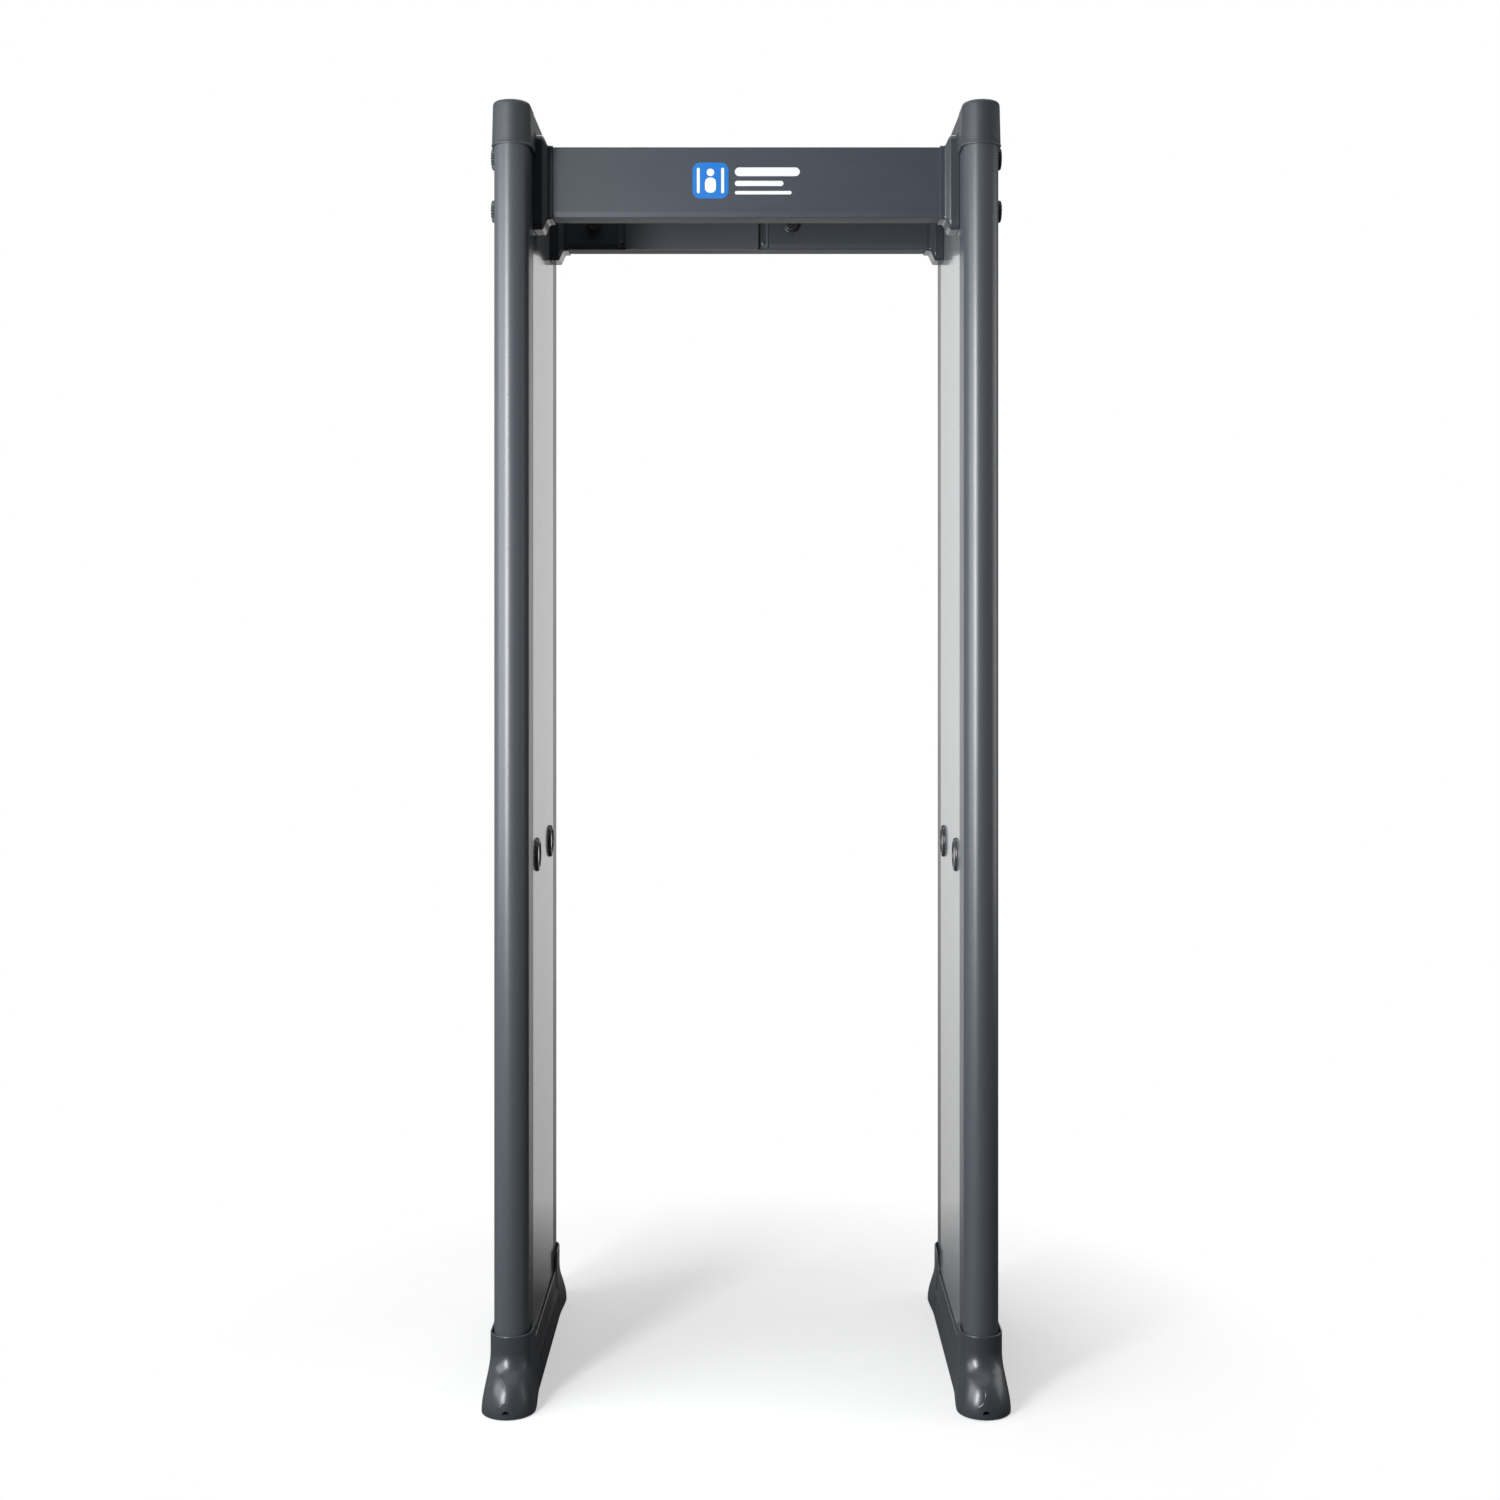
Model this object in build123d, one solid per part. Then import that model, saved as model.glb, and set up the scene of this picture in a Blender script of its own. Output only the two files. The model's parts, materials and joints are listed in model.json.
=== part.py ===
from build123d import *
import math
import os

# Walk-through security gate: two side panels joined at the top by a front and a rear header beam.
# Frame: millimetres, +Z up, origin on the floor at the centre of the gate.
# -Y is the front of the gate, a person walks through along Y, -X is the left panel.
# Every sub-part of a side is built for the right panel and the front, then mirrored.

# ---- overall sizes
GATE_HEIGHT = 2200.0
PASSAGE_WIDTH = 735.0
POST_WIDTH = 59.0
NOSE_CENTRE_Y = 234.0          # centre line of the posts' rounded noses
PANEL_END_Y = 172.0            # where the posts meet the panel

# ---- side panels
HALF_POST = POST_WIDTH / 2
INNER_X = PASSAGE_WIDTH / 2    # inner face of a panel
SIDE_X = INNER_X + HALF_POST   # middle plane of a panel
OUTER_X = INNER_X + POST_WIDTH
POST_WALL = 3.0
WEB_Y = 213.0
SKIN = 3.0
PANEL_BOTTOM = 11.0
PANEL_TOP = 2188.0
COIL_HALF_Y = 118.0
COIL_Z = (240.0, 1960.0)
COIL_CORNER = 45.0
COIL_WIDTH = 16.0
COIL_THICK = 6.0
COIL_GROOVE = 8.0

# ---- top caps
CAP_HALF = 33.4
CAP_NOSE_BOTTOM = 2123.0
CAP_SIDE_BOTTOM = 2161.0       # the lower edge steps up between the posts
CAP_STEP_Y = 184.0
CAP_TAPER = 1.5
CAP_ROUND = 8.0
CAP_BEAD = 0.8
CAP_BEAD_HEIGHT = 3.0
SOCKET_GAP = 0.3               # clearance of caps and shoes round the posts

# ---- base shoes
SHOE_BOTTOM = 1.0
SHOE_FLOOR = 11.0
COLLAR_TOP = 121.0
COLLAR_HALF = 35.7
COLLAR_NOSE_Y = 269.7
FLARE_TOP = 100.0              # the foot flares out below this height
FLARE_SIDE = 9.8
FLARE_CENTRE = 49.0
FLARE_NOSE = 50.3
FLARE_BACK = 5.8
FOOT_BACK_Y = 185.0
SKIRT_PROFILE = [(41.5, SHOE_BOTTOM), (41.0, 13.0), (38.0, 37.0), (37.6, 45.0), (34.0, 57.0), (33.2, 86.0)]
PAD_THICK = 3.0
PAD_HALF = 38.0
PAD_NOSE_CENTRE = 268.0
ANCHOR_Y = 283.0
ANCHOR_R = 5.0
POCKET_HALF = 12.0
POCKET_Y = (270.5, 300.0)
POCKET_TOP = 50.0
COVER_HALF = 13.5
COVER_Z = (18.0, 62.0)
COVER_THICK = 4.0
COVER_PROUD = 1.2
COVER_GAP = 0.2
SLOT_R = 6.5
SLOT_CENTRE_Z = 9.0
SLOT_BOTTOM = 11.0

# ---- header beams and their end brackets
BEAM_BOTTOM = 2017.0
BEAM_HEIGHT = 122.0
BEAM_DEPTH = 52.0
BEAM_Y = 144.0
BEAM_WALL = 2.0
BEAM_END_X = 361.0
BEAM_LIP = 10.0                # the lower part of each face leans in
BEAM_LIP_IN = 2.5
BEAM_Z = BEAM_BOTTOM + BEAM_HEIGHT / 2
SLEEVE_WALL = 2.6
SLEEVE_X = 334.0
FLARE_START_X = 341.0
FLARE_END_X = 353.0
FLARE_STEPS = 4
BRACKET_FLARE_Z = 18.0
BRACKET_FLARE_Y = 8.0
BRACKET_CORNER = 7.0
PLUG_X = 343.0
PLUG_GAP = 0.3
SLEEVE_GAP = 0.1
KNOB_DZ = 45.5                 # the two knobs of a beam end, above and below its centre line

# ---- hand knobs
KNOB_R = 19.3
KNOB_FACE_X = OUTER_X + 15.7
KNOB_HUB_R = 12.5
KNOB_HUB = 3.0
KNOB_GAP = 0.3
KNOB_LOBES = 16
KNOB_LOBE_R = 2.6
STUD_R = 4.0
STUD_END_X = 345.0
STUD_HOLE_R = 4.5
INSERT_R = 6.0
INSERT_BORE_R = 4.06

# ---- sensors on the inner faces
SENSOR_Z = 912.0
SENSOR_Y = 112.0
SENSOR_R = 29.5
SENSOR_PROUD = 5.0
SENSOR_NECK_R = 24.0
SENSOR_NECK = 12.0
LENS_R = 21.0
LENS_FRONT_X = INNER_X - 3.4
MODULE_DEPTH = 20.0

# ---- control unit in the rear beam
UNIT_X = (-227.0, 22.0)
FLANGE_X = (-240.0, 39.0)
WINDOW_MARGIN = 3.0
WINDOW_HEIGHT = 100.0
HOUSING_WALL = 2.5
FLANGE_THICK = 2.0
SERVICE_THICK = 7.0
SERVICE_Z = (2015.5, 2139.0)
FASCIA_THICK = 5.0
FASCIA_HEIGHT = 112.0
BEAM_INNER_FACE_Y = BEAM_Y - BEAM_DEPTH / 2
BEAM_OUTER_FACE_Y = BEAM_Y + BEAM_DEPTH / 2
FASCIA_FACE_Y = BEAM_OUTER_FACE_Y + FASCIA_THICK
TRAY_FLOOR_Y = BEAM_OUTER_FACE_Y - HOUSING_WALL
FLANGE_Z = (BEAM_Z - 58, BEAM_Z + 58)
KEY_COUNT = 4
KEY_R = 7.5
KEY_GAP = 0.35
KEY_PITCH = 24.0
KEY_FIRST_X = -84.0
KEY_Z = BEAM_Z - 22.0
KEY_PROUD = 2.5
KEY_CLEARANCE_BEHIND = 2.2
LOCK_X = -10.0
LOCK_R = 8.0
LOCK_GAP = 0.06
LOCK_PROUD = 3.0
KEYWAY_HALF = (1.0, 4.5)
DISPLAY_CENTRE_X = -114.0
DISPLAY_WIDTH = 96.0
DISPLAY_HEIGHT = 40.0
DISPLAY_RISE = 4.0             # its lower edge above the fascia's middle
INLET_CENTRE = (-200.0, BEAM_Z - 31.0)
INLET_SIZE = (28.0, 22.0)
INLET_RIM = 2.5
INLET_DEPTH = 16.0
BOARD_LEFT_X = -112.0
BOARD_THICK = 1.6
BOARD_STAND = 12.0
STANDOFF_R = 3.0
SUPPLY_X = (-216.0, -120.0)
SUPPLY_Z = (BEAM_Z - 10.0, BEAM_Z + 44.0)
SUPPLY_DEPTH = 32.0
SOCKET_X = (-285.0, 83.0)
SOCKET_Z = 2061.0
SOCKET_R = 13.5
SOCKET_CAP = 12.0
SOCKET_STEM_R = 9.0
SOCKET_STEM = 8.0
SCREW_R = 3.5
SCREW_HEAD = 2.2
SCREW_ROWS_Z = (2028.0, 2128.0)

OUT = "parts"


def block(x, y, z):
    """A box from three (low, high) ranges."""
    size = [high - low for low, high in (x, y, z)]
    middle = [(high + low) / 2 for low, high in (x, y, z)]
    return Pos(*middle) * Box(*size)


def rod_x(radius, x, y, z):
    """A cylinder along X over the range x, centred on y and z."""
    body = Cylinder(radius, x[1] - x[0], rotation=(0, 90, 0))
    return Pos((x[0] + x[1]) / 2, y, z) * body


def rod_y(radius, y, x, z):
    """A cylinder along Y over the range y, centred on x and z."""
    body = Cylinder(radius, y[1] - y[0], rotation=(90, 0, 0))
    return Pos(x, (y[0] + y[1]) / 2, z) * body


def side_slot(half_width, nose_centre=NOSE_CENTRE_Y):
    """Plan outline of a side panel: straight sides with a round nose at each end."""
    return Rot(0, 0, 90) * SlotCenterToCenter(2 * nose_centre, 2 * half_width)


def side_prism(half_width, z, nose_centre=NOSE_CENTRE_Y):
    """The side outline, raised over the height range z."""
    solid = extrude(side_slot(half_width, nose_centre), amount=z[1] - z[0])
    return Pos(SIDE_X, 0, z[0]) * solid


def rear_copy(shape):
    return mirror(shape, about=Plane.XZ)


def left_copy(shape):
    return mirror(shape, about=Plane.YZ)


# ---- posts and panels


def front_post():
    """Hollow profile: flat sides, round nose and one inner web."""
    z = (PANEL_BOTTOM, PANEL_TOP)
    ahead = block((SIDE_X - 60, SIDE_X + 60), (-300, -PANEL_END_Y), z)
    hollow = block((SIDE_X - 60, SIDE_X + 60), (-300, -PANEL_END_Y - POST_WALL), z)
    web = block((INNER_X, OUTER_X), (-WEB_Y - POST_WALL, -WEB_Y), z)
    void = (side_prism(HALF_POST - POST_WALL, z) & hollow) - web
    return (side_prism(HALF_POST, z) & ahead) - void


def stud_points():
    """Where the knobs' studs cross a side panel, as (y, z)."""
    points = []
    for y in (-BEAM_Y, BEAM_Y):
        for dz in (-KNOB_DZ, KNOB_DZ):
            points.append((y, BEAM_Z + dz))
    return points


def with_stud_holes(board, x):
    for y, z in stud_points():
        board -= rod_x(STUD_HOLE_R, x, y, z)
    return board


def outer_skin():
    x = (OUTER_X - SKIN, OUTER_X)
    skin = block(x, (-PANEL_END_Y, PANEL_END_Y), (PANEL_BOTTOM, PANEL_TOP))
    return with_stud_holes(skin, x)


def inner_skin():
    x = (INNER_X, INNER_X + SKIN)
    skin = block(x, (-PANEL_END_Y, PANEL_END_Y), (PANEL_BOTTOM, PANEL_TOP))
    for y in (-SENSOR_Y, SENSOR_Y):
        skin -= rod_x(SENSOR_NECK_R, x, y, SENSOR_Z)
    return with_stud_holes(skin, x)


def coil_outline(margin):
    height = COIL_Z[1] - COIL_Z[0]
    return RectangleRounded(2 * (COIL_HALF_Y + margin), height + 2 * margin, COIL_CORNER + margin)


def coil_loop(x):
    """Flat loop that runs round the panel, over the depth range x."""
    face = coil_outline(COIL_WIDTH / 2) - coil_outline(-COIL_WIDTH / 2)
    plane = Plane(origin=(x[0], 0, (COIL_Z[0] + COIL_Z[1]) / 2), x_dir=(0, 1, 0), z_dir=(1, 0, 0))
    return extrude(plane * face, amount=x[1] - x[0])


def coil():
    floor = OUTER_X - SKIN - COIL_GROOVE
    return coil_loop((floor, floor + COIL_THICK))


def panel_core():
    x = (INNER_X + SKIN, OUTER_X - SKIN)
    core = block(x, (-PANEL_END_Y, PANEL_END_Y), (PANEL_BOTTOM, PANEL_TOP))
    core -= coil_loop((x[1] - COIL_GROOVE, x[1]))
    for y in (-SENSOR_Y, SENSOR_Y):
        core -= rod_x(SENSOR_NECK_R, (x[0], INNER_X + SENSOR_NECK + MODULE_DEPTH), y, SENSOR_Z)
    return with_stud_holes(core, x)


# ---- top cap and base shoe


def top_cap():
    """One moulding over both posts, with a lower edge that steps up between them."""
    shell = extrude(side_slot(CAP_HALF), amount=GATE_HEIGHT - CAP_NOSE_BOTTOM, taper=CAP_TAPER)
    shell = fillet(shell.edges().group_by(Axis.Z)[-1], radius=CAP_ROUND)
    shell = Pos(SIDE_X, 0, CAP_NOSE_BOTTOM) * shell
    shell += side_prism(CAP_HALF + CAP_BEAD, (CAP_NOSE_BOTTOM, CAP_NOSE_BOTTOM + CAP_BEAD_HEIGHT))
    shell -= side_prism(HALF_POST + SOCKET_GAP, (CAP_NOSE_BOTTOM, PANEL_TOP + SOCKET_GAP))
    step_z = (CAP_NOSE_BOTTOM - 10, CAP_SIDE_BOTTOM)
    step = block((SIDE_X - 60, SIDE_X + 60), (-CAP_STEP_Y, CAP_STEP_Y), step_z)
    step = fillet(step.edges().filter_by(Axis.X).group_by(Axis.Z)[-1], radius=10)
    return shell - step


def flare(z):
    """How far the foot has flared at height z, from 0 at the collar to 1 at the floor."""
    if z >= FLARE_TOP:
        return 0.0
    return 0.5 * (1 + math.cos(math.pi * z / FLARE_TOP))


def foot_section(z, extra):
    """Plan outline of the front foot at height z, grown outwards by extra."""
    share = flare(z)
    half = COLLAR_HALF + FLARE_SIDE * share + extra
    back = COLLAR_HALF + FLARE_BACK * share + extra
    centre = NOSE_CENTRE_Y + FLARE_CENTRE * share
    nose = COLLAR_NOSE_Y + FLARE_NOSE * share + extra
    back_line = Line((back, -FOOT_BACK_Y), (-back, -FOOT_BACK_Y))
    left = Line(back_line @ 1, (-half, -centre))
    arc = EllipticalCenterArc((0, -centre), half, nose - centre, start_angle=180, arc_size=180)
    right = Line((half, -centre), back_line @ 0)
    outline = Wire([back_line, left, arc, right])
    return Pos(SIDE_X, 0, z) * make_face(outline)


def front_foot(extra=0.0):
    """Flared foot and straight collar of one post."""
    steps = 5
    span = FLARE_TOP - SHOE_BOTTOM
    sections = [foot_section(SHOE_BOTTOM + span * i / steps, extra) for i in range(steps + 1)]
    foot = loft(sections)
    collar = extrude(foot_section(FLARE_TOP, extra), amount=COLLAR_TOP - FLARE_TOP)
    return foot + collar


def skirt():
    """Lower moulding between the two feet."""
    side = [(SIDE_X + half, 0, z) for half, z in SKIRT_PROFILE]
    other = [(SIDE_X - half, 0, z) for half, z in reversed(SKIRT_PROFILE)]
    face = make_face(Polyline(*side, *other, close=True))
    return extrude(face, amount=FOOT_BACK_Y + 5, both=True, dir=(0, 1, 0))


def cover_zone(gap):
    """The upright window in the foot's nose that the anchor cover closes."""
    x = (SIDE_X - COVER_HALF - gap, SIDE_X + COVER_HALF + gap)
    return block(x, (-340, -250), (COVER_Z[0] - gap, COVER_Z[1] + gap))


def front_anchor_cover():
    return (front_foot(COVER_PROUD) & cover_zone(0)) - front_foot(-COVER_THICK)


def anchor_pocket():
    """Room above the anchor hole, open to the front through the cover's window."""
    x = (SIDE_X - POCKET_HALF, SIDE_X + POCKET_HALF)
    room = block(x, (-POCKET_Y[1], -POCKET_Y[0]), (SHOE_FLOOR, POCKET_TOP))
    way_in = block(x, (-340, -POCKET_Y[0]), (COVER_Z[0] + 3, POCKET_TOP))
    slot = rod_y(SLOT_R, (-340, -POCKET_Y[1] + 1), SIDE_X, SLOT_CENTRE_Z)
    slot &= block((SIDE_X - 20, SIDE_X + 20), (-340, -250), (SLOT_BOTTOM, 30))
    return room + way_in + slot


def base_shoe():
    foot = front_foot()
    window = cover_zone(COVER_GAP) - front_foot(-COVER_THICK - COVER_GAP)
    foot = foot - window - anchor_pocket()
    foot -= Pos(SIDE_X, -ANCHOR_Y, 0) * Cylinder(ANCHOR_R, 60)
    shoe = skirt() + foot + rear_copy(foot)
    shoe -= side_prism(HALF_POST + SOCKET_GAP, (SHOE_FLOOR, COLLAR_TOP + 1))
    return shoe - side_prism(PAD_HALF, (0, PAD_THICK), PAD_NOSE_CENTRE)


def base_pad():
    pad = side_prism(PAD_HALF, (0, PAD_THICK), PAD_NOSE_CENTRE)
    for y in (-ANCHOR_Y, ANCHOR_Y):
        pad -= Pos(SIDE_X, y, 0) * Cylinder(ANCHOR_R, 20)
    return pad


# ---- header beams, brackets and knobs


def beam_outline(grow):
    """Upright section of a beam, with a lower lip that leans in, grown by grow."""
    half = BEAM_DEPTH / 2
    top = BEAM_HEIGHT / 2
    points = [(half, -top + BEAM_LIP), (half, top), (-half, top), (-half, -top + BEAM_LIP),
              (-half + BEAM_LIP_IN, -top), (half - BEAM_LIP_IN, -top)]
    face = make_face(Polyline(*points, close=True))
    face = fillet(face.vertices(), radius=2.5)
    if grow:
        face = offset(face, amount=grow, kind=Kind.INTERSECTION)
    return face


def beam_prism(x, grow=0.0):
    plane = Plane(origin=(x[0], -BEAM_Y, BEAM_Z), x_dir=(0, 1, 0), z_dir=(1, 0, 0))
    return extrude(plane * beam_outline(grow), amount=x[1] - x[0])


def front_beam():
    x = (-BEAM_END_X, BEAM_END_X)
    return beam_prism(x) - beam_prism(x, -BEAM_WALL)


def rear_beam():
    """The same profile, with windows for the control unit and holes for the capped sockets."""
    beam = rear_copy(front_beam())
    x = (UNIT_X[0] + WINDOW_MARGIN, UNIT_X[1] - WINDOW_MARGIN)
    half = WINDOW_HEIGHT / 2
    beam -= block(x, (BEAM_Y - 40, BEAM_Y + 40), (BEAM_Z - half, BEAM_Z + half))
    for socket_x in SOCKET_X:
        beam -= rod_y(SOCKET_STEM_R, (BEAM_Y - 40, BEAM_Y), socket_x, SOCKET_Z)
    return beam


def bracket_section(x, share):
    """Rounded section of the bracket at x, flared out by the given share."""
    depth = BEAM_DEPTH + 2 * (SLEEVE_WALL + BRACKET_FLARE_Y * share)
    height = BEAM_HEIGHT + 2 * (SLEEVE_WALL + BRACKET_FLARE_Z * share)
    plane = Plane(origin=(x, -BEAM_Y, BEAM_Z), x_dir=(0, 1, 0), z_dir=(1, 0, 0))
    return plane * RectangleRounded(depth, height, 4 + BRACKET_CORNER * share)


def front_bracket():
    """Sleeve round the beam's end, flaring in an S-curve to a flange on the panel."""
    sleeve = extrude(bracket_section(SLEEVE_X, 0), amount=FLARE_START_X - SLEEVE_X)
    sections = []
    for i in range(FLARE_STEPS + 1):
        way = i / FLARE_STEPS
        share = 0.5 - 0.5 * math.cos(math.pi * way)
        sections.append(bracket_section(FLARE_START_X + (FLARE_END_X - FLARE_START_X) * way, share))
    bracket = sleeve + loft(sections)
    bracket += extrude(bracket_section(FLARE_END_X, 1), amount=INNER_X - FLARE_END_X)
    plug = beam_prism((PLUG_X, BEAM_END_X), -BEAM_WALL - PLUG_GAP)
    bracket -= beam_prism((SLEEVE_X, BEAM_END_X), SLEEVE_GAP) - plug
    for dz in (-KNOB_DZ, KNOB_DZ):
        bracket -= rod_x(INSERT_R, (PLUG_X, INNER_X), -BEAM_Y, BEAM_Z + dz)
    return bracket


def front_inserts():
    inserts = []
    x = (PLUG_X, INNER_X)
    for dz in (-KNOB_DZ, KNOB_DZ):
        bush = rod_x(INSERT_R, x, -BEAM_Y, BEAM_Z + dz)
        inserts.append(bush - rod_x(INSERT_BORE_R, x, -BEAM_Y, BEAM_Z + dz))
    return inserts


def front_knob(dz):
    """Round hand knob with finger scallops, moulded on its stud."""
    z = BEAM_Z + dz
    start = OUTER_X + KNOB_GAP
    head = rod_x(KNOB_R, (start + KNOB_HUB, KNOB_FACE_X), -BEAM_Y, z)
    head = fillet(head.edges().filter_by(GeomType.CIRCLE), radius=1.5)
    ring = KNOB_R + 1.2
    for i in range(KNOB_LOBES):
        angle = 2 * math.pi * i / KNOB_LOBES
        y = -BEAM_Y + ring * math.cos(angle)
        head -= rod_x(KNOB_LOBE_R, (start, KNOB_FACE_X + 1), y, z + ring * math.sin(angle))
    head += rod_x(KNOB_HUB_R, (start, start + KNOB_HUB), -BEAM_Y, z)
    return head + rod_x(STUD_R, (STUD_END_X, start + KNOB_HUB), -BEAM_Y, z)


# ---- sensors


def front_sensor_bezel():
    ring = rod_x(SENSOR_R, (INNER_X - SENSOR_PROUD, INNER_X), -SENSOR_Y, SENSOR_Z)
    ring = fillet(ring.edges().filter_by(GeomType.CIRCLE).sort_by(Axis.X)[0], radius=3)
    ring += rod_x(SENSOR_NECK_R, (INNER_X, INNER_X + SENSOR_NECK), -SENSOR_Y, SENSOR_Z)
    return ring - rod_x(LENS_R, (INNER_X - 10, INNER_X + 40), -SENSOR_Y, SENSOR_Z)


def front_sensor_lens():
    lens = rod_x(LENS_R, (LENS_FRONT_X, LENS_FRONT_X + 4), -SENSOR_Y, SENSOR_Z)
    return fillet(lens.edges().filter_by(GeomType.CIRCLE).sort_by(Axis.X)[0], radius=1.5)


def front_sensor_module():
    start = INNER_X + SENSOR_NECK
    return rod_x(LENS_R, (start, start + MODULE_DEPTH), -SENSOR_Y, SENSOR_Z)


# ---- control unit


def housing_ranges(inset):
    x = (UNIT_X[0] + WINDOW_MARGIN + inset, UNIT_X[1] - WINDOW_MARGIN - inset)
    half = WINDOW_HEIGHT / 2 - inset
    return x, (BEAM_Z - half, BEAM_Z + half)


def control_housing():
    """Tray through the beam's windows, open to the inside, with a flange on the inner face."""
    x, z = housing_ranges(0)
    tray = block(x, (BEAM_INNER_FACE_Y, BEAM_OUTER_FACE_Y), z)
    tray += block(FLANGE_X, (BEAM_INNER_FACE_Y - FLANGE_THICK, BEAM_INNER_FACE_Y), FLANGE_Z)
    x, z = housing_ranges(HOUSING_WALL)
    tray -= block(x, (BEAM_INNER_FACE_Y - 10, TRAY_FLOOR_Y), z)
    wall = (TRAY_FLOOR_Y, BEAM_OUTER_FACE_Y)
    for key_x in key_positions():
        tray -= rod_y(KEY_R + 1, wall, key_x, KEY_Z)
    return tray - inlet_block(0, wall)


def service_cover():
    """Plate over the tray, on its flange."""
    back = BEAM_INNER_FACE_Y - FLANGE_THICK
    plate = block(UNIT_X, (back - SERVICE_THICK, back), SERVICE_Z)
    front = plate.faces().sort_by(Axis.Y)[0]
    return fillet(front.edges(), radius=2)


def cover_screws():
    """Heads of the screws that hold the flange strips."""
    heads = []
    face = BEAM_INNER_FACE_Y - FLANGE_THICK
    for x in ((FLANGE_X[0] + UNIT_X[0]) / 2, (FLANGE_X[1] + UNIT_X[1]) / 2):
        for z in SCREW_ROWS_Z:
            heads.append(rod_y(SCREW_R, (face - SCREW_HEAD, face), x, z))
    return heads


def key_positions():
    return [KEY_FIRST_X + i * KEY_PITCH for i in range(KEY_COUNT)]


def control_fascia():
    """Outer plate of the control unit, with openings for display, keys, lock and inlet."""
    half = FASCIA_HEIGHT / 2
    y = (BEAM_OUTER_FACE_Y, FASCIA_FACE_Y)
    plate = block(UNIT_X, y, (BEAM_Z - half, BEAM_Z + half))
    plate = fillet(plate.edges().filter_by(Axis.Y), radius=6)
    plate = fillet(plate.faces().sort_by(Axis.Y)[-1].edges(), radius=1.5)
    plate -= display_block(y)
    for x in key_positions():
        plate -= rod_y(KEY_R + KEY_GAP, y, x, KEY_Z)
    plate -= rod_y(LOCK_R + LOCK_GAP, y, LOCK_X, BEAM_Z)
    return plate - inlet_block(0, y)


def display_block(y):
    x = (DISPLAY_CENTRE_X - DISPLAY_WIDTH / 2, DISPLAY_CENTRE_X + DISPLAY_WIDTH / 2)
    z = (BEAM_Z + DISPLAY_RISE, BEAM_Z + DISPLAY_RISE + DISPLAY_HEIGHT)
    return block(x, y, z)


def display_window():
    return display_block((BEAM_OUTER_FACE_Y, FASCIA_FACE_Y - 1))


def inlet_block(inset, y):
    half_x = INLET_SIZE[0] / 2 - inset
    half_z = INLET_SIZE[1] / 2 - inset
    x, z = INLET_CENTRE
    return block((x - half_x, x + half_x), y, (z - half_z, z + half_z))


def mains_inlet():
    """Power inlet: a box with an open recess for the appliance plug."""
    back = FASCIA_FACE_Y - INLET_DEPTH
    body = inlet_block(0, (back, FASCIA_FACE_Y))
    return body - inlet_block(INLET_RIM, (back + INLET_RIM, FASCIA_FACE_Y))


def control_key(x):
    """Round key that travels into the fascia."""
    y = (BEAM_OUTER_FACE_Y + KEY_CLEARANCE_BEHIND, FASCIA_FACE_Y + KEY_PROUD)
    key = rod_y(KEY_R, y, x, KEY_Z)
    return fillet(key.edges().filter_by(GeomType.CIRCLE).sort_by(Axis.Y)[-1], radius=1)


def lock_rotor():
    """Turning core of the key lock, with its keyway."""
    front = FASCIA_FACE_Y + LOCK_PROUD
    rotor = rod_y(LOCK_R, (BEAM_OUTER_FACE_Y + KEY_GAP, front), LOCK_X, BEAM_Z)
    half_x, half_z = KEYWAY_HALF
    x = (LOCK_X - half_x, LOCK_X + half_x)
    return rotor - block(x, (front - 5, front + 1), (BEAM_Z - half_z, BEAM_Z + half_z))


def control_board():
    """Circuit board on four standoffs, beside the power supply."""
    x, z = housing_ranges(HOUSING_WALL + 4)
    x = (BOARD_LEFT_X, x[1])
    front = TRAY_FLOOR_Y - BOARD_STAND
    board = block(x, (front - BOARD_THICK, front), z)
    for corner_x in (x[0] + STANDOFF_R, x[1] - STANDOFF_R):
        for corner_z in (z[0] + STANDOFF_R, z[1] - STANDOFF_R):
            board += rod_y(STANDOFF_R, (front, TRAY_FLOOR_Y), corner_x, corner_z)
    return board


def power_supply():
    return block(SUPPLY_X, (TRAY_FLOOR_Y - SUPPLY_DEPTH, TRAY_FLOOR_Y), SUPPLY_Z)


def cable_sockets():
    """Round sockets with dust caps, one on each side of the service cover."""
    caps = []
    for x in SOCKET_X:
        cap = rod_y(SOCKET_R, (BEAM_INNER_FACE_Y - SOCKET_CAP, BEAM_INNER_FACE_Y), x, SOCKET_Z)
        cap = fillet(cap.edges().filter_by(GeomType.CIRCLE).sort_by(Axis.Y)[0], radius=2)
        stem = rod_y(SOCKET_STEM_R, (BEAM_INNER_FACE_Y, BEAM_INNER_FACE_Y + SOCKET_STEM), x, SOCKET_Z)
        caps.append(cap + stem)
    return caps


# ---- writing the nodes


def write(name, solids):
    """One node: a solid, or a group of separate solids."""
    if isinstance(solids, list):
        solids = Compound(children=solids)
    export_step(solids, os.path.join(OUT, name + ".step"))


def write_sides(name, right):
    write("right_" + name, right)
    write("left_" + name, left_copy(right))


def write_corners(name, front):
    """A sub-part that is at the front and the rear of both sides."""
    rear = rear_copy(front)
    for place, shape in (("front", front), ("rear", rear)):
        write("right_" + place + "_" + name, shape)
        write("left_" + place + "_" + name, left_copy(shape))


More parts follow.
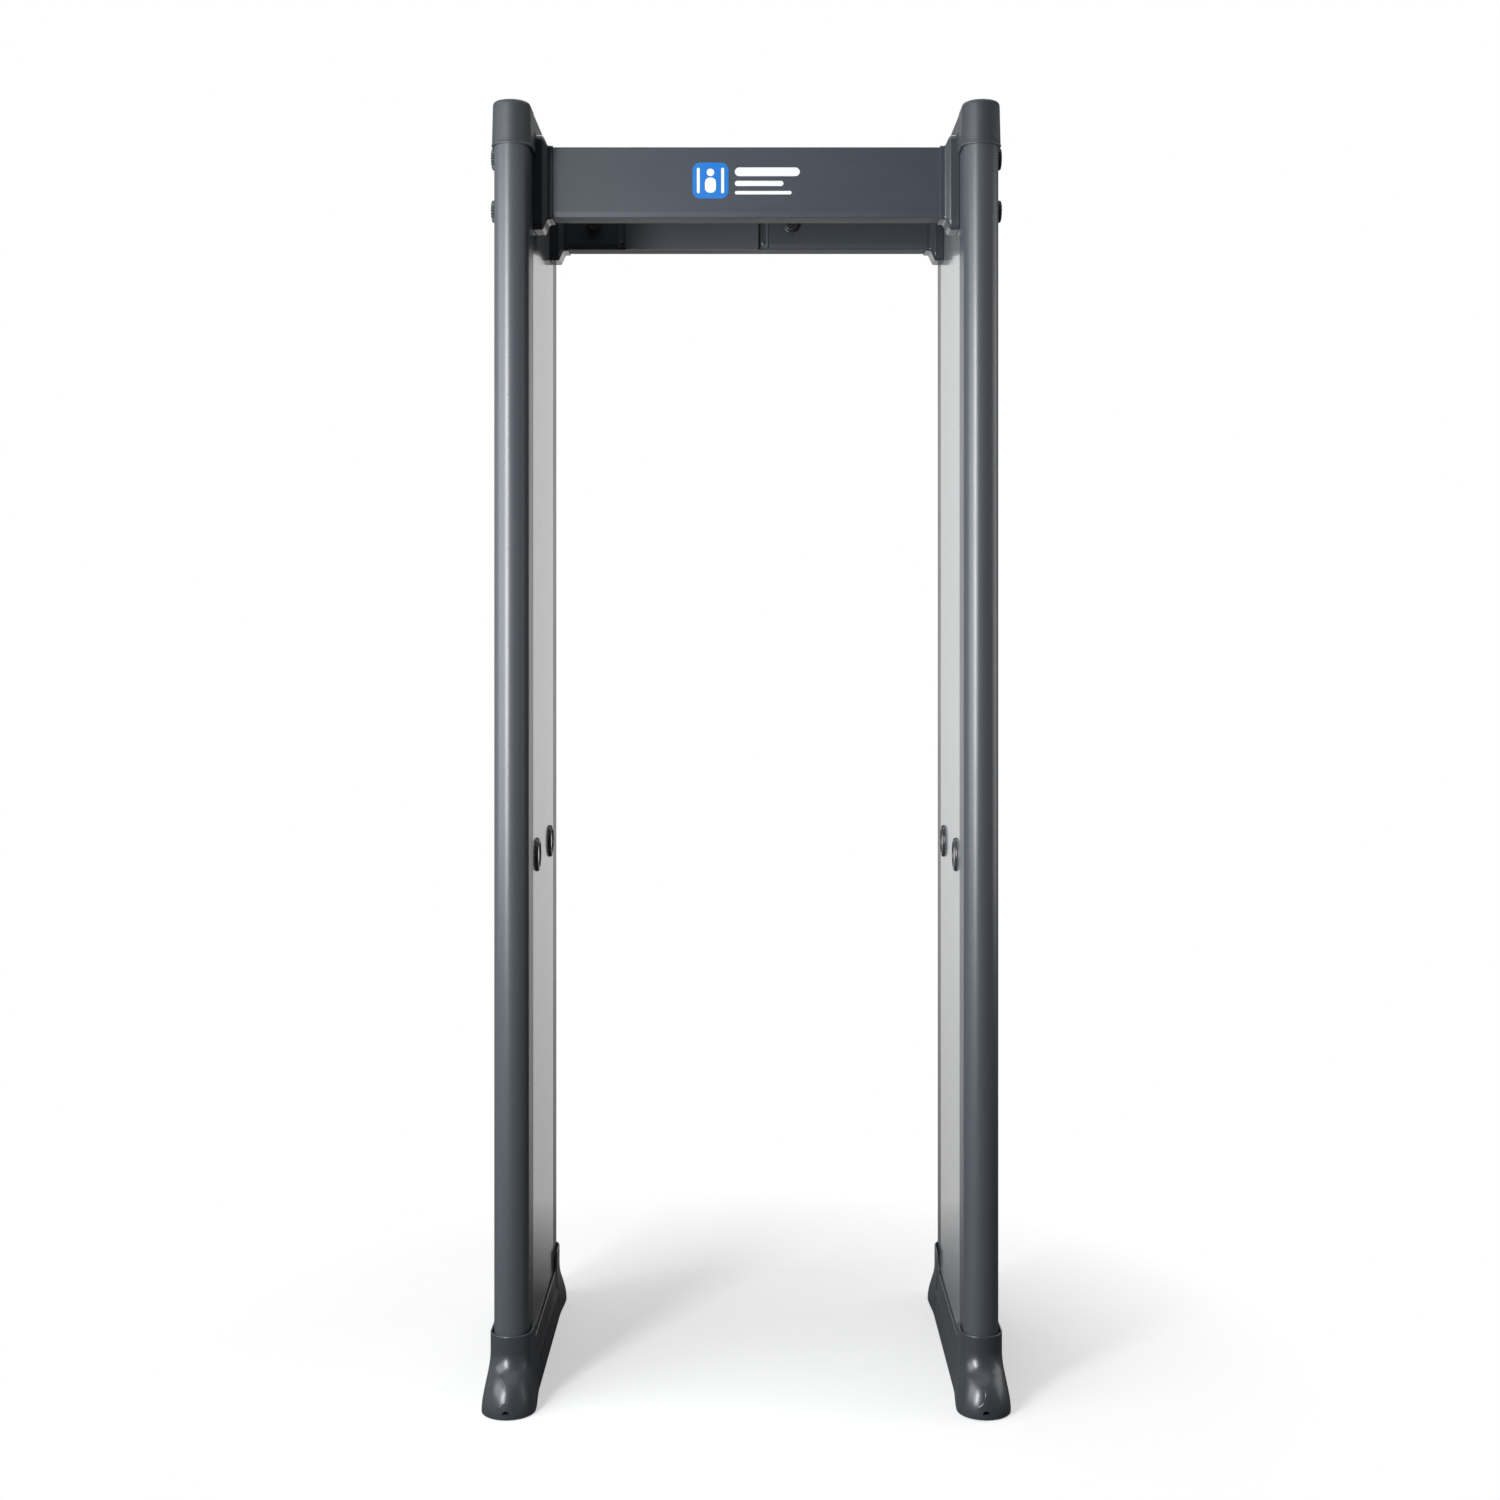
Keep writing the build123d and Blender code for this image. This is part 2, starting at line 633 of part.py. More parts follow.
def main():
    os.makedirs(OUT, exist_ok=True)
    write_corners("post", front_post())
    write_sides("inner_skin", inner_skin())
    write_sides("outer_skin", outer_skin())
    write_sides("panel_core", panel_core())
    loop = coil()
    write("receiver_coil", loop)
    write("transmitter_coil", left_copy(loop))
    write_sides("top_cap", top_cap())
    write_sides("base_shoe", base_shoe())
    pad = base_pad()
    write("base_pads", [pad, left_copy(pad)])
    write_corners("anchor_cover", front_anchor_cover())
    write_corners("sensor_bezel", front_sensor_bezel())
    write_corners("sensor_lens", front_sensor_lens())
    module = front_sensor_module()
    right_modules = [module, rear_copy(module)]
    write("sensor_modules", right_modules + [left_copy(m) for m in right_modules])
    write("front_beam", front_beam())
    write("rear_beam", rear_beam())
    write_corners("bracket", front_bracket())
    right_inserts = front_inserts() + [rear_copy(b) for b in front_inserts()]
    write("threaded_inserts", right_inserts + [left_copy(b) for b in right_inserts])
    write_corners("upper_knob", front_knob(KNOB_DZ))
    write_corners("lower_knob", front_knob(-KNOB_DZ))
    write("control_housing", control_housing())
    write("service_cover", service_cover())
    write("cover_screws", cover_screws())
    write("control_fascia", control_fascia())
    write("display_window", display_window())
    write("control_board", control_board())
    write("power_supply", power_supply())
    write("cable_sockets", cable_sockets())
    write("mains_inlet", mains_inlet())
    write("lock_rotor", lock_rotor())
    for number, x in enumerate(key_positions(), start=1):
        write("control_key_" + str(number), control_key(x))


main()
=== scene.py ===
"""Looks of the walk-through security gate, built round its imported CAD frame."""
import json
import math

import bmesh
import bpy
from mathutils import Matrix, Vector


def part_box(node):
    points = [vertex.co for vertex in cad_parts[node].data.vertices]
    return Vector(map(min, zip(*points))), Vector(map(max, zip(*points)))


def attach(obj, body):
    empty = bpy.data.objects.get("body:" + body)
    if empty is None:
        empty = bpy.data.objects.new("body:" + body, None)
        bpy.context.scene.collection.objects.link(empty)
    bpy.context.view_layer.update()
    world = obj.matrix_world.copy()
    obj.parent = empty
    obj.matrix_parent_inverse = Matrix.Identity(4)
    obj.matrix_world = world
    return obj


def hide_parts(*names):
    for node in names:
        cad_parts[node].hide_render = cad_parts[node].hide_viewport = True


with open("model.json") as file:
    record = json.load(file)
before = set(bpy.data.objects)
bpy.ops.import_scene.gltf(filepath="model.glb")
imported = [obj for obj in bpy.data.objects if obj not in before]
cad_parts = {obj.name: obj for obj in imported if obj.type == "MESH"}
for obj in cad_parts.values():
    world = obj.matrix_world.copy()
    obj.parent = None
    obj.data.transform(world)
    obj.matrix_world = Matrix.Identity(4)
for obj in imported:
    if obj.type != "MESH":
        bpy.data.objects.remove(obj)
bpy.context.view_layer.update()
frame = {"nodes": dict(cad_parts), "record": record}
MM = 0.001
ROOT = "root"
SIDES = {"left": -1, "right": 1}
ENDS = {"front": -1, "rear": 1}

# ---- sizes read from the frame, for the right side and the front


def node_box(node):
    low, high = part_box(node)
    return Vector(low), Vector(high)


def face_box(node):
    """Box of a node, then the centre and the size of its face across y."""
    low, high = node_box(node)
    centre = ((low.x + high.x) / 2, (low.z + high.z) / 2)
    return low, high, centre, (high.x - low.x, high.z - low.z)


post_low, post_high = node_box("right_front_post")
INNER_X = post_low.x
OUTER_X = post_high.x
HALF_POST = (OUTER_X - INNER_X) / 2
SIDE_X = (OUTER_X + INNER_X) / 2
NOSE_Y = -post_low.y - HALF_POST
PANEL_END_Y = -post_high.y
cap_low, cap_high = node_box("right_top_cap")
shoe_low, shoe_high = node_box("right_base_shoe")
beam_low, beam_high = node_box("front_beam")
BEAM_Y = -(beam_low.y + beam_high.y) / 2
BEAM_Z = (beam_low.z + beam_high.z) / 2
BEAM_HALF_Y = (beam_high.y - beam_low.y) / 2
BEAM_HALF_Z = (beam_high.z - beam_low.z) / 2
bracket_low, bracket_high = node_box("right_front_bracket")
bezel_low, bezel_high = node_box("right_front_sensor_bezel")
lens_low, lens_high = node_box("right_front_sensor_lens")

# ---- mesh building


def ring_faces(count, rows, closed_rows=False):
    """Quads between rows of count points each, every row a closed loop."""
    faces = []
    last = rows if closed_rows else rows - 1
    for row in range(last):
        below = row * count
        above = ((row + 1) % rows) * count
        for i in range(count):
            j = (i + 1) % count
            faces.append((below + i, below + j, above + j, above + i))
    return faces


def rings_mesh(rings, fill_first=True, fill_last=True):
    """Points and faces of a skin over equal closed rings, with flat ends."""
    count = len(rings[0])
    verts = [point for ring in rings for point in ring]
    faces = ring_faces(count, len(rings))
    if fill_first:
        faces.append(tuple(reversed(range(count))))
    if fill_last:
        start = count * (len(rings) - 1)
        faces.append(tuple(range(start, start + count)))
    return verts, faces


def mirrored(shape, side, end):
    """A right front shape moved to another side (-1 left, 1 right) and end (-1 front, 1 rear)."""
    verts, faces = shape
    return [(x * side, y * -end, z) for x, y, z in verts], faces


def joined(*shapes):
    """Several shapes as one."""
    verts = []
    faces = []
    for shape_verts, shape_faces in shapes:
        start = len(verts)
        verts.extend(shape_verts)
        faces.extend(tuple(i + start for i in face) for face in shape_faces)
    return verts, faces


def mesh_object(name, shape):
    """Bare mesh object with clean, outward faces."""
    mesh = bpy.data.meshes.new(name)
    mesh.from_pydata(shape[0], [], shape[1])
    work = bmesh.new()
    work.from_mesh(mesh)
    bmesh.ops.remove_doubles(work, verts=work.verts, dist=1e-6)
    bmesh.ops.dissolve_degenerate(work, edges=work.edges, dist=1e-7)
    bmesh.ops.recalc_face_normals(work, faces=work.faces)
    work.to_mesh(mesh)
    work.free()
    thing = bpy.data.objects.new(name, mesh)
    bpy.context.scene.collection.objects.link(thing)
    return thing


def carved(shape, cutter):
    """The shape with the cutter's volume taken out."""
    body = mesh_object("carve_body", shape)
    tool = mesh_object("carve_tool", cutter)
    cut = body.modifiers.new("cut", "BOOLEAN")
    cut.operation = "DIFFERENCE"
    cut.solver = "EXACT"
    cut.use_hole_tolerant = True
    cut.object = tool
    bpy.context.view_layer.update()
    solid = body.evaluated_get(bpy.context.evaluated_depsgraph_get()).to_mesh()
    verts = [tuple(vertex.co) for vertex in solid.vertices]
    faces = [tuple(face.vertices) for face in solid.polygons]
    for thing in (body, tool):
        mesh = thing.data
        bpy.data.objects.remove(thing)
        bpy.data.meshes.remove(mesh)
    return verts, faces


def make_piece(name, shape, material, replaces=(), body=ROOT, sharp=32, flat=True):
    """A mesh object that rides on a body, hard only at edges sharper than the angle sharp, in degrees.

    flat shades by face size, which keeps flat faces even; curved mouldings look better without it.
    """
    piece = mesh_object(name, shape)
    mesh = piece.data
    mesh.shade_smooth()
    mesh.set_sharp_from_angle(angle=math.radians(sharp))
    mesh.materials.append(material)
    if flat:
        piece.modifiers.new("flat_faces", "WEIGHTED_NORMAL").keep_sharp = True
    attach(piece, body)
    if replaces:
        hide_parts(*replaces)


def on_corners(name, shape, material, node, bodies=False, sharp=32, flat=True):
    """The right front shape, mirrored to all four corners. node names the CAD node it stands for."""
    for side, sx in SIDES.items():
        for end, sy in ENDS.items():
            cad = f"{side}_{end}_{node}"
            body = cad if bodies else ROOT
            make_piece(f"{side}_{end}_{name}", mirrored(shape, sx, sy), material,
                       (cad,), body, sharp, flat)


def on_sides(name, shape, material, node, flat=True):
    """The right shape, mirrored to both sides."""
    for side, sx in SIDES.items():
        make_piece(f"{side}_{name}", mirrored(shape, sx, -1), material, (f"{side}_{node}",), flat=flat)


def rounded_outline(width, height, radius, steps=6):
    """Closed outline of a rounded rectangle about the origin."""
    radius = max(radius, 1e-5)
    points = []
    for corner in range(4):
        cx = (width / 2 - radius) * (1 if corner in (0, 3) else -1)
        cy = (height / 2 - radius) * (1 if corner in (0, 1) else -1)
        for i in range(steps + 1):
            angle = math.pi / 2 * (corner + i / steps)
            points.append((cx + radius * math.cos(angle), cy + radius * math.sin(angle)))
    return points


def placed(axis, along, across):
    """A point from its place along an axis and its two coordinates across it."""
    u, v = across
    return {"x": (along, u, v), "y": (u, along, v), "z": (u, v, along)}[axis]


def edge_profile(span, edge):
    """(place, inset) pairs from one face of a plate to the other, with rounded edges."""
    low, high = span
    steps = 4
    pairs = []
    for i in range(steps + 1):
        angle = math.pi / 2 * i / steps
        pairs.append((low + edge * (1 - math.sin(angle)), edge * (1 - math.cos(angle))))
    start = [(place, inset) for place, inset in reversed(pairs)]
    finish = [(high - (place - low), inset) for place, inset in pairs]
    return start + finish


def plate(axis, centre, size, span, corner, edge, steps=6):
    """Rounded plate across an axis, with softened edges."""
    rings = []
    for place, inset in edge_profile(span, edge):
        radius = max(corner - inset, edge * 0.2)
        outline = rounded_outline(size[0] - 2 * inset, size[1] - 2 * inset, radius, steps)
        rings.append([placed(axis, place, (centre[0] + u, centre[1] + v)) for u, v in outline])
    return rings_mesh(rings)


def lathe(axis, centre, profile, segments=72, lobes=0, lobe_depth=0.0):
    """Turned shape: profile is (radius, place, lobe share) rows from one end to the other."""
    rings = []
    for row in profile:
        radius, place = row[0], row[1]
        share = row[2] if len(row) > 2 else 0.0
        ring = []
        for i in range(segments):
            angle = 2 * math.pi * i / segments
            dip = lobe_depth * share * (0.5 - 0.5 * math.cos(lobes * angle)) ** 3
            r = max(radius - dip, 1e-6)
            across = (centre[0] + r * math.cos(angle), centre[1] + r * math.sin(angle))
            ring.append(placed(axis, place, across))
        rings.append(ring)
    return rings_mesh(rings)


def smooth(value):
    """Smoothstep between 0 and 1."""
    value = min(max(value, 0.0), 1.0)
    return value * value * (3 - 2 * value)


def blend(a, b, share):
    return a + (b - a) * share


# ---- materials


class Recipe:
    """A Principled material with helpers for procedural detail in object space."""

    def __init__(self, name):
        self.material = bpy.data.materials.new(name)
        self.material.use_nodes = True
        self.tree = self.material.node_tree
        self.shader = self.tree.nodes["Principled BSDF"]
        self.coords = self.tree.nodes.new("ShaderNodeTexCoord").outputs["Object"]

    def node(self, kind, **settings):
        made = self.tree.nodes.new(kind)
        for key, value in settings.items():
            setattr(made, key, value)
        return made

    def link(self, source, target):
        self.tree.links.new(source, target)

    def stretched(self, scale):
        mapping = self.node("ShaderNodeMapping")
        mapping.inputs["Scale"].default_value = scale
        self.link(self.coords, mapping.inputs["Vector"])
        return mapping.outputs["Vector"]

    def noise(self, scale, detail=3.0, roughness=0.55, stretch=(1, 1, 1)):
        made = self.node("ShaderNodeTexNoise")
        made.inputs["Scale"].default_value = scale
        made.inputs["Detail"].default_value = detail
        made.inputs["Roughness"].default_value = roughness
        self.link(self.stretched(stretch), made.inputs["Vector"])
        return made.outputs["Fac"]

    def ranged(self, source, low, high, from_low=0.3, from_high=0.7):
        made = self.node("ShaderNodeMapRange")
        made.inputs["From Min"].default_value = from_low
        made.inputs["From Max"].default_value = from_high
        made.inputs["To Min"].default_value = low
        made.inputs["To Max"].default_value = high
        self.link(source, made.inputs["Value"])
        return made.outputs["Result"]

    def mixed(self, share, first, second):
        """Colour mix; first and second are colours or sockets."""
        made = self.node("ShaderNodeMix", data_type="RGBA")
        self.link(share, made.inputs[0])
        for socket, value in ((made.inputs[6], first), (made.inputs[7], second)):
            if isinstance(value, tuple):
                socket.default_value = value + (1.0,)
            else:
                self.link(value, socket)
        return made.outputs[2]

    def colour(self, source):
        self.link(source, self.shader.inputs["Base Color"])

    def roughness(self, source):
        self.link(source, self.shader.inputs["Roughness"])

    def bump(self, source, height, after=None):
        made = self.node("ShaderNodeBump")
        made.inputs["Strength"].default_value = 1.0
        made.inputs["Distance"].default_value = height
        self.link(source, made.inputs["Height"])
        if after is not None:
            self.link(after, made.inputs["Normal"])
        self.link(made.outputs["Normal"], self.shader.inputs["Normal"])
        return made.outputs["Normal"]

    def worn(self, source, lighter):
        """Convex edges rubbed a little lighter."""
        pointed = self.node("ShaderNodeNewGeometry").outputs["Pointiness"]
        return self.mixed(self.ranged(pointed, 0.0, 0.55, 0.52, 0.62), source, lighter)

    def fixed(self, **values):
        for key, value in values.items():
            self.shader.inputs[key.replace("_", " ")].default_value = value


def moulded(name, dark, light, rough, grain_scale=1400.0, grain=0.00004, coat=0.0, stretch=(1, 1, 1),
            worn=None):
    """Satin moulded or painted surface: slight tone drift, patchy gloss and a fine grain."""
    recipe = Recipe(name)
    tone = recipe.mixed(recipe.ranged(recipe.noise(5.0, 4.0, 0.6, stretch), 0.0, 1.0), dark, light)
    if worn:
        tone = recipe.worn(tone, worn)
    recipe.colour(tone)
    patches = recipe.noise(38.0, 5.0, 0.65, stretch)
    recipe.roughness(recipe.ranged(patches, rough[0], rough[1]))
    wavy = recipe.bump(recipe.noise(45.0, 2.0, 0.5, stretch), 0.00001)
    recipe.bump(recipe.noise(grain_scale, 2.0, 0.6, stretch), grain, after=wavy)
    if coat:
        recipe.fixed(Coat_Weight=coat, Coat_Roughness=0.18)
    return recipe.material


def laminate_material():
    """Grey laminate: faint mottling and specks under a glossy face of low index, kind to side light."""
    recipe = Recipe("panel_laminate")
    mottle = recipe.ranged(recipe.noise(3.0, 4.0, 0.6), 0.0, 1.0)
    tone = recipe.mixed(mottle, (0.165, 0.17, 0.175), (0.18, 0.185, 0.19))
    specks = recipe.ranged(recipe.noise(900.0, 2.0, 0.5), 0.0, 0.18, 0.60, 0.72)
    recipe.colour(recipe.mixed(specks, tone, (0.12, 0.12, 0.125)))
    recipe.roughness(recipe.ranged(recipe.noise(24.0, 4.0, 0.6), 0.10, 0.13))
    recipe.bump(recipe.noise(260.0, 2.0, 0.5), 0.000003)
    recipe.fixed(IOR=1.27)
    return recipe.material


def metal_material(name, base, rough, stretch):
    """Bare metal with fine turning or brushing lines."""
    recipe = Recipe(name)
    lines = recipe.noise(420.0, 4.0, 0.6, stretch)
    recipe.colour(recipe.mixed(recipe.ranged(lines, 0.0, 1.0), tuple(c * 0.8 for c in base), base))
    recipe.roughness(recipe.ranged(lines, rough, rough + 0.14))
    recipe.bump(lines, 0.00002)
    recipe.fixed(Metallic=1.0)
    return recipe.material


def lens_material():
    """Milky, slightly warm sensor window."""
    recipe = Recipe("sensor_window")
    tone = recipe.mixed(recipe.ranged(recipe.noise(60.0), 0.0, 1.0), (0.30, 0.285, 0.28), (0.37, 0.35, 0.345))
    recipe.colour(tone)
    recipe.roughness(recipe.ranged(recipe.noise(150.0), 0.12, 0.22))
    recipe.bump(recipe.noise(500.0), 0.00002)
    recipe.fixed(Coat_Weight=0.6, Coat_Roughness=0.05)
    return recipe.material


def glow_material(name, colour, strength):
    """Lit segment of the display, a little uneven."""
    recipe = Recipe(name)
    tone = recipe.mixed(recipe.ranged(recipe.noise(300.0), 0.0, 1.0), tuple(c * 0.7 for c in colour), colour)
    recipe.colour(tone)
    recipe.link(tone, recipe.shader.inputs["Emission Color"])
    recipe.fixed(Emission_Strength=strength, Roughness=0.3)
    return recipe.material


GRAPHITE_DARK = (0.036, 0.041, 0.048)
GRAPHITE_LIGHT = (0.041, 0.047, 0.055)
GRAPHITE_WORN = (0.07, 0.078, 0.09)
SHOE_GLOSS = moulded("moulding_gloss", (0.028, 0.032, 0.038), (0.032, 0.037, 0.044), (0.28, 0.32), 1300.0,
                     0.000006, worn=GRAPHITE_WORN)
MATERIALS = {
    "post_profile": moulded("post_profile", GRAPHITE_DARK, GRAPHITE_LIGHT, (0.31, 0.37), 1500.0, 0.00001,
                            stretch=(1, 1, 0.12), worn=GRAPHITE_WORN),
    "moulding": moulded("moulding", (0.028, 0.032, 0.038), (0.032, 0.037, 0.044), (0.44, 0.52), 1300.0,
                        0.000015, worn=GRAPHITE_WORN),
    "beam_paint": moulded("beam_paint", (0.029, 0.035, 0.044), (0.033, 0.040, 0.050), (0.42, 0.48), 1100.0,
                          0.00001, stretch=(0.3, 1, 1), worn=GRAPHITE_WORN),
    "bracket_plastic": moulded("bracket_plastic", (0.032, 0.037, 0.044), (0.037, 0.043, 0.051), (0.20, 0.26),
                               1300.0, 0.000012, worn=GRAPHITE_WORN),
    "cover_paint": moulded("cover_paint", (0.050, 0.056, 0.064), (0.057, 0.064, 0.073), (0.31, 0.37), 1100.0,
                           0.00001, worn=GRAPHITE_WORN),
    "unit_plastic": moulded("unit_plastic", (0.050, 0.056, 0.066), (0.060, 0.068, 0.080), (0.40, 0.50), 900.0,
                            0.00007, worn=GRAPHITE_WORN),
    "knob_plastic": moulded("knob_plastic", (0.011, 0.011, 0.012), (0.017, 0.017, 0.018), (0.30, 0.42),
                            1000.0, 0.00006, worn=(0.06, 0.06, 0.06)),
    "bezel_plastic": moulded("bezel_plastic", (0.016, 0.017, 0.019), (0.024, 0.025, 0.028), (0.24, 0.32),
                             1200.0, 0.00003, worn=(0.09, 0.09, 0.10)),
    # very dark plastic, used for the plates that paint shade in the toe slots, the latch recess and the
    # keyway
    "inner_plastic": moulded("inner_plastic", (0.012, 0.012, 0.013), (0.02, 0.02, 0.022), (0.5, 0.6)),
    "pad_rubber": moulded("pad_rubber", (0.012, 0.012, 0.012), (0.020, 0.020, 0.020), (0.75, 0.9), 500.0,
                          0.0002),
    "key_rubber": moulded("key_rubber", (0.20, 0.21, 0.22), (0.25, 0.26, 0.27), (0.55, 0.7), 800.0, 0.00008),
    "board": moulded("board", (0.01, 0.11, 0.035), (0.015, 0.15, 0.05), (0.35, 0.5), 300.0, 0.0001),
    "core_foam": moulded("core_foam", (0.60, 0.54, 0.40), (0.70, 0.64, 0.48), (0.85, 0.95), 250.0, 0.0006),
    "display_glass": moulded("display_glass", (0.006, 0.010, 0.011), (0.009, 0.014, 0.015), (0.05, 0.09),
                             300.0, 0.000005, coat=0.5),
    "panel_laminate": laminate_material(),
    "lens_plastic": lens_material(),
    "screw_steel": metal_material("screw_steel", (0.16, 0.16, 0.17), 0.32, (1, 1, 1)),
    "lock_steel": metal_material("lock_steel", (0.62, 0.62, 0.63), 0.22, (6, 1, 1)),
    "supply_case": metal_material("supply_case", (0.72, 0.73, 0.74), 0.30, (0.1, 1, 1)),
    "brass": metal_material("brass", (0.76, 0.56, 0.26), 0.28, (1, 8, 8)),
    "coil_copper": metal_material("coil_copper", (0.80, 0.40, 0.24), 0.30, (1, 1, 0.05)),
}


def paint_frame():
    """Every CAD node gets the material of its slot."""
    slots = {row["node"]: row["material_slot"] for row in frame["record"]["subparts"]}
    for node, thing in frame["nodes"].items():
        thing.data.materials.clear()
        thing.data.materials.append(MATERIALS[slots[node]])


# ---- posts and panels


def post_shape():
    """Profile with flat sides and a round nose, its corners softened at the panel end."""
    edge = 0.5 * MM
    steps = 56
    points = [(OUTER_X, -PANEL_END_Y - edge)]
    for i in range(steps + 1):
        angle = -math.pi * i / steps
        points.append((SIDE_X + HALF_POST * math.cos(angle), -NOSE_Y + HALF_POST * math.sin(angle)))
    points.append((INNER_X, -PANEL_END_Y - edge))
    points.append((INNER_X + edge, -PANEL_END_Y))
    points.append((OUTER_X - edge, -PANEL_END_Y))
    rings = [[(x, y, z) for x, y in points] for z in (post_low.z, post_high.z)]
    return rings_mesh(rings)


def skin_shape(node):
    low, high = node_box(node)
    centre = ((low.y + high.y) / 2, (low.z + high.z) / 2)
    size = (high.y - low.y, high.z - low.z)
    return plate("x", centre, size, (low.x, high.x), 0.6 * MM, 0.5 * MM, 3)


def build_panels():
    on_corners("post_shell", post_shape(), MATERIALS["post_profile"], "post")
    for face in ("inner", "outer"):
        shape = skin_shape(f"right_{face}_skin")
        on_sides(f"{face}_board", shape, MATERIALS["panel_laminate"], f"{face}_skin")


# ---- columns of points round a side panel, shared by caps and shoes

CAP_STEP_Y = 184 * MM
CAP_STEP_RISE = 38 * MM
COLLAR_BACK_Y = 186 * MM


def side_columns():
    """(spine y, outward x, outward y) of each column round the panel's plan outline."""
    straight = [NOSE_Y * (2 * i / 56 - 1) for i in range(1, 56)]
    for step in (CAP_STEP_Y, COLLAR_BACK_Y):
        straight += [sign * (step + (i - 6) * 1.6 * MM) for i in range(13) for sign in (-1, 1)]
    straight = sorted(set(round(y, 6) for y in straight))
    arc = 32
    columns = []
    for i in range(arc + 1):
        angle = math.pi * i / arc
        columns.append((NOSE_Y, math.cos(angle), math.sin(angle)))
    columns += [(y, -1.0, 0.0) for y in reversed(straight)]
    for i in range(arc + 1):
        angle = math.pi * (1 + i / arc)
        columns.append((-NOSE_Y, math.cos(angle), math.sin(angle)))
    columns += [(y, 1.0, 0.0) for y in straight]
    return columns


COLUMNS = side_columns()


def cap_bottom(y):
    """Height of the cap's lower edge: it steps up between the posts."""
    rise = smooth((CAP_STEP_Y + 4 * MM - abs(y)) / (8 * MM))
    return blend(cap_low.z, cap_low.z + CAP_STEP_RISE, rise)


def cap_shape():
    """Long moulded cap with a bead along its lower edge, softened corners and a slightly crowned top."""
    bead = 0.8 * MM
    rim = (cap_high.x - cap_low.x) / 2 - bead
    taper = 1.6 * MM
    corner = 7 * MM
    crown = 1.6 * MM
    shoulder = cap_high.z - crown - corner
    rows = [(HALF_POST + 0.3 * MM, 6 * MM), (HALF_POST + 0.3 * MM, 0.4 * MM), (HALF_POST + 0.8 * MM, 0.0)]
    rows += [(rim + bead - 0.8 * MM, 0.0), (rim + bead - 0.2 * MM, 0.25 * MM), (rim + bead, 0.9 * MM),
             (rim + bead, 2.3 * MM), (rim + bead - 0.3 * MM, 3.0 * MM), (rim + 0.1 * MM, 3.4 * MM),
             (rim, 4.0 * MM)]
    rings = []
    for half, up in rows:
        rings.append([cap_point(c, half, cap_bottom(c[0]) + up) for c in COLUMNS])
    for i in range(1, 9):
        share = i / 8
        half = rim - taper * share
        rings.append([cap_point(c, half, blend(cap_bottom(c[0]) + 4 * MM, shoulder, share)) for c in COLUMNS])
    for i in range(1, 9):
        angle = math.pi / 2 * i / 8
        half = rim - taper - corner * (1 - math.cos(angle))
        rings.append([cap_point(c, half, shoulder + corner * math.sin(angle)) for c in COLUMNS])
    top_half = rim - taper - corner
    for i in range(1, 9):
        share = i / 8
        z = cap_high.z - crown * (1 - share) ** 2
        rings.append([cap_point(c, top_half * (1 - share), z) for c in COLUMNS])
    return rings_mesh(rings, False, False)


def column_point(column, half, z):
    """Point of a column at a distance half from the spine."""
    y, out_x, out_y = column
    return (SIDE_X + out_x * half, y + out_y * half, z)


def cap_point(column, half, z):
    """Point of the cap: between its two ends the rail is a little narrower."""
    waist = 0.9 * MM * smooth((CAP_STEP_Y - abs(column[0])) / (3 * MM))
    return column_point(column, max(half - waist, 0.0), z)


# ---- base shoe

SHOE_Z = shoe_low.z
COLLAR_Z = shoe_high.z
SKIRT_Z = 86 * MM
COLLAR_HALF = 35.7 * MM
COLLAR_TIP = NOSE_Y + COLLAR_HALF
TOE_TIP = shoe_high.y
FLARE_SPAN = (2 * MM, 86 * MM)
FLARE_SIDE = (shoe_high.x - shoe_low.x) / 2 - COLLAR_HALF
FLARE_BACK = 5.8 * MM
FLARE_CENTRE = 40 * MM
TOE_SPAN = (5 * MM, 95 * MM)
TOE_TURN = 2 * math.atan((TOE_TIP - COLLAR_TIP) / (TOE_SPAN[1] - TOE_SPAN[0]))
INSTEP_RADIUS = 39 * MM
TOE_RADIUS = (TOE_SPAN[1] - TOE_SPAN[0]) / math.sin(TOE_TURN) - INSTEP_RADIUS
COLLAR_GAP = 1.7 * MM
SKIRT_GAP = 2.4 * MM
SKIRT_OUTLINE = [(0, 41.4), (6, 41.3), (13, 40.6), (26, 38.8), (34, 38.0), (41, 38.3), (46, 38.0), (51, 36.2),
                 (57, 34.9), (66, 34.3), (78, 33.9), (86, 33.4)]


def flare(z):
    """Share of the sideways flare at height z: 1 on the floor, 0 from the collar up."""
    share = min(max((z - FLARE_SPAN[0]) / (FLARE_SPAN[1] - FLARE_SPAN[0]), 0.0), 1.0)
    return 0.5 * (1 + math.cos(math.pi * share))


def toe_tip(z):
    """Reach of the toe at height z: a hollow arc under the collar runs into a round toe cap."""
    low, high = TOE_SPAN
    join = low + TOE_RADIUS * math.sin(TOE_TURN)
    if z >= high:
        return COLLAR_TIP
    if z >= join:
        return COLLAR_TIP + INSTEP_RADIUS - math.sqrt(INSTEP_RADIUS ** 2 - (high - z) ** 2)
    return TOE_TIP - TOE_RADIUS + math.sqrt(TOE_RADIUS ** 2 - max(z - low, 0.0) ** 2)


def skirt_half(z):
    """Half width of the skirt at height z: it leans out to a rib, then to the floor."""
    for (z0, w0), (z1, w1) in zip(SKIRT_OUTLINE, SKIRT_OUTLINE[1:]):
        if z <= z1 * MM:
            return blend(w0, w1, smooth((z / MM - z0) / (z1 - z0))) * MM
    return SKIRT_OUTLINE[-1][1] * MM


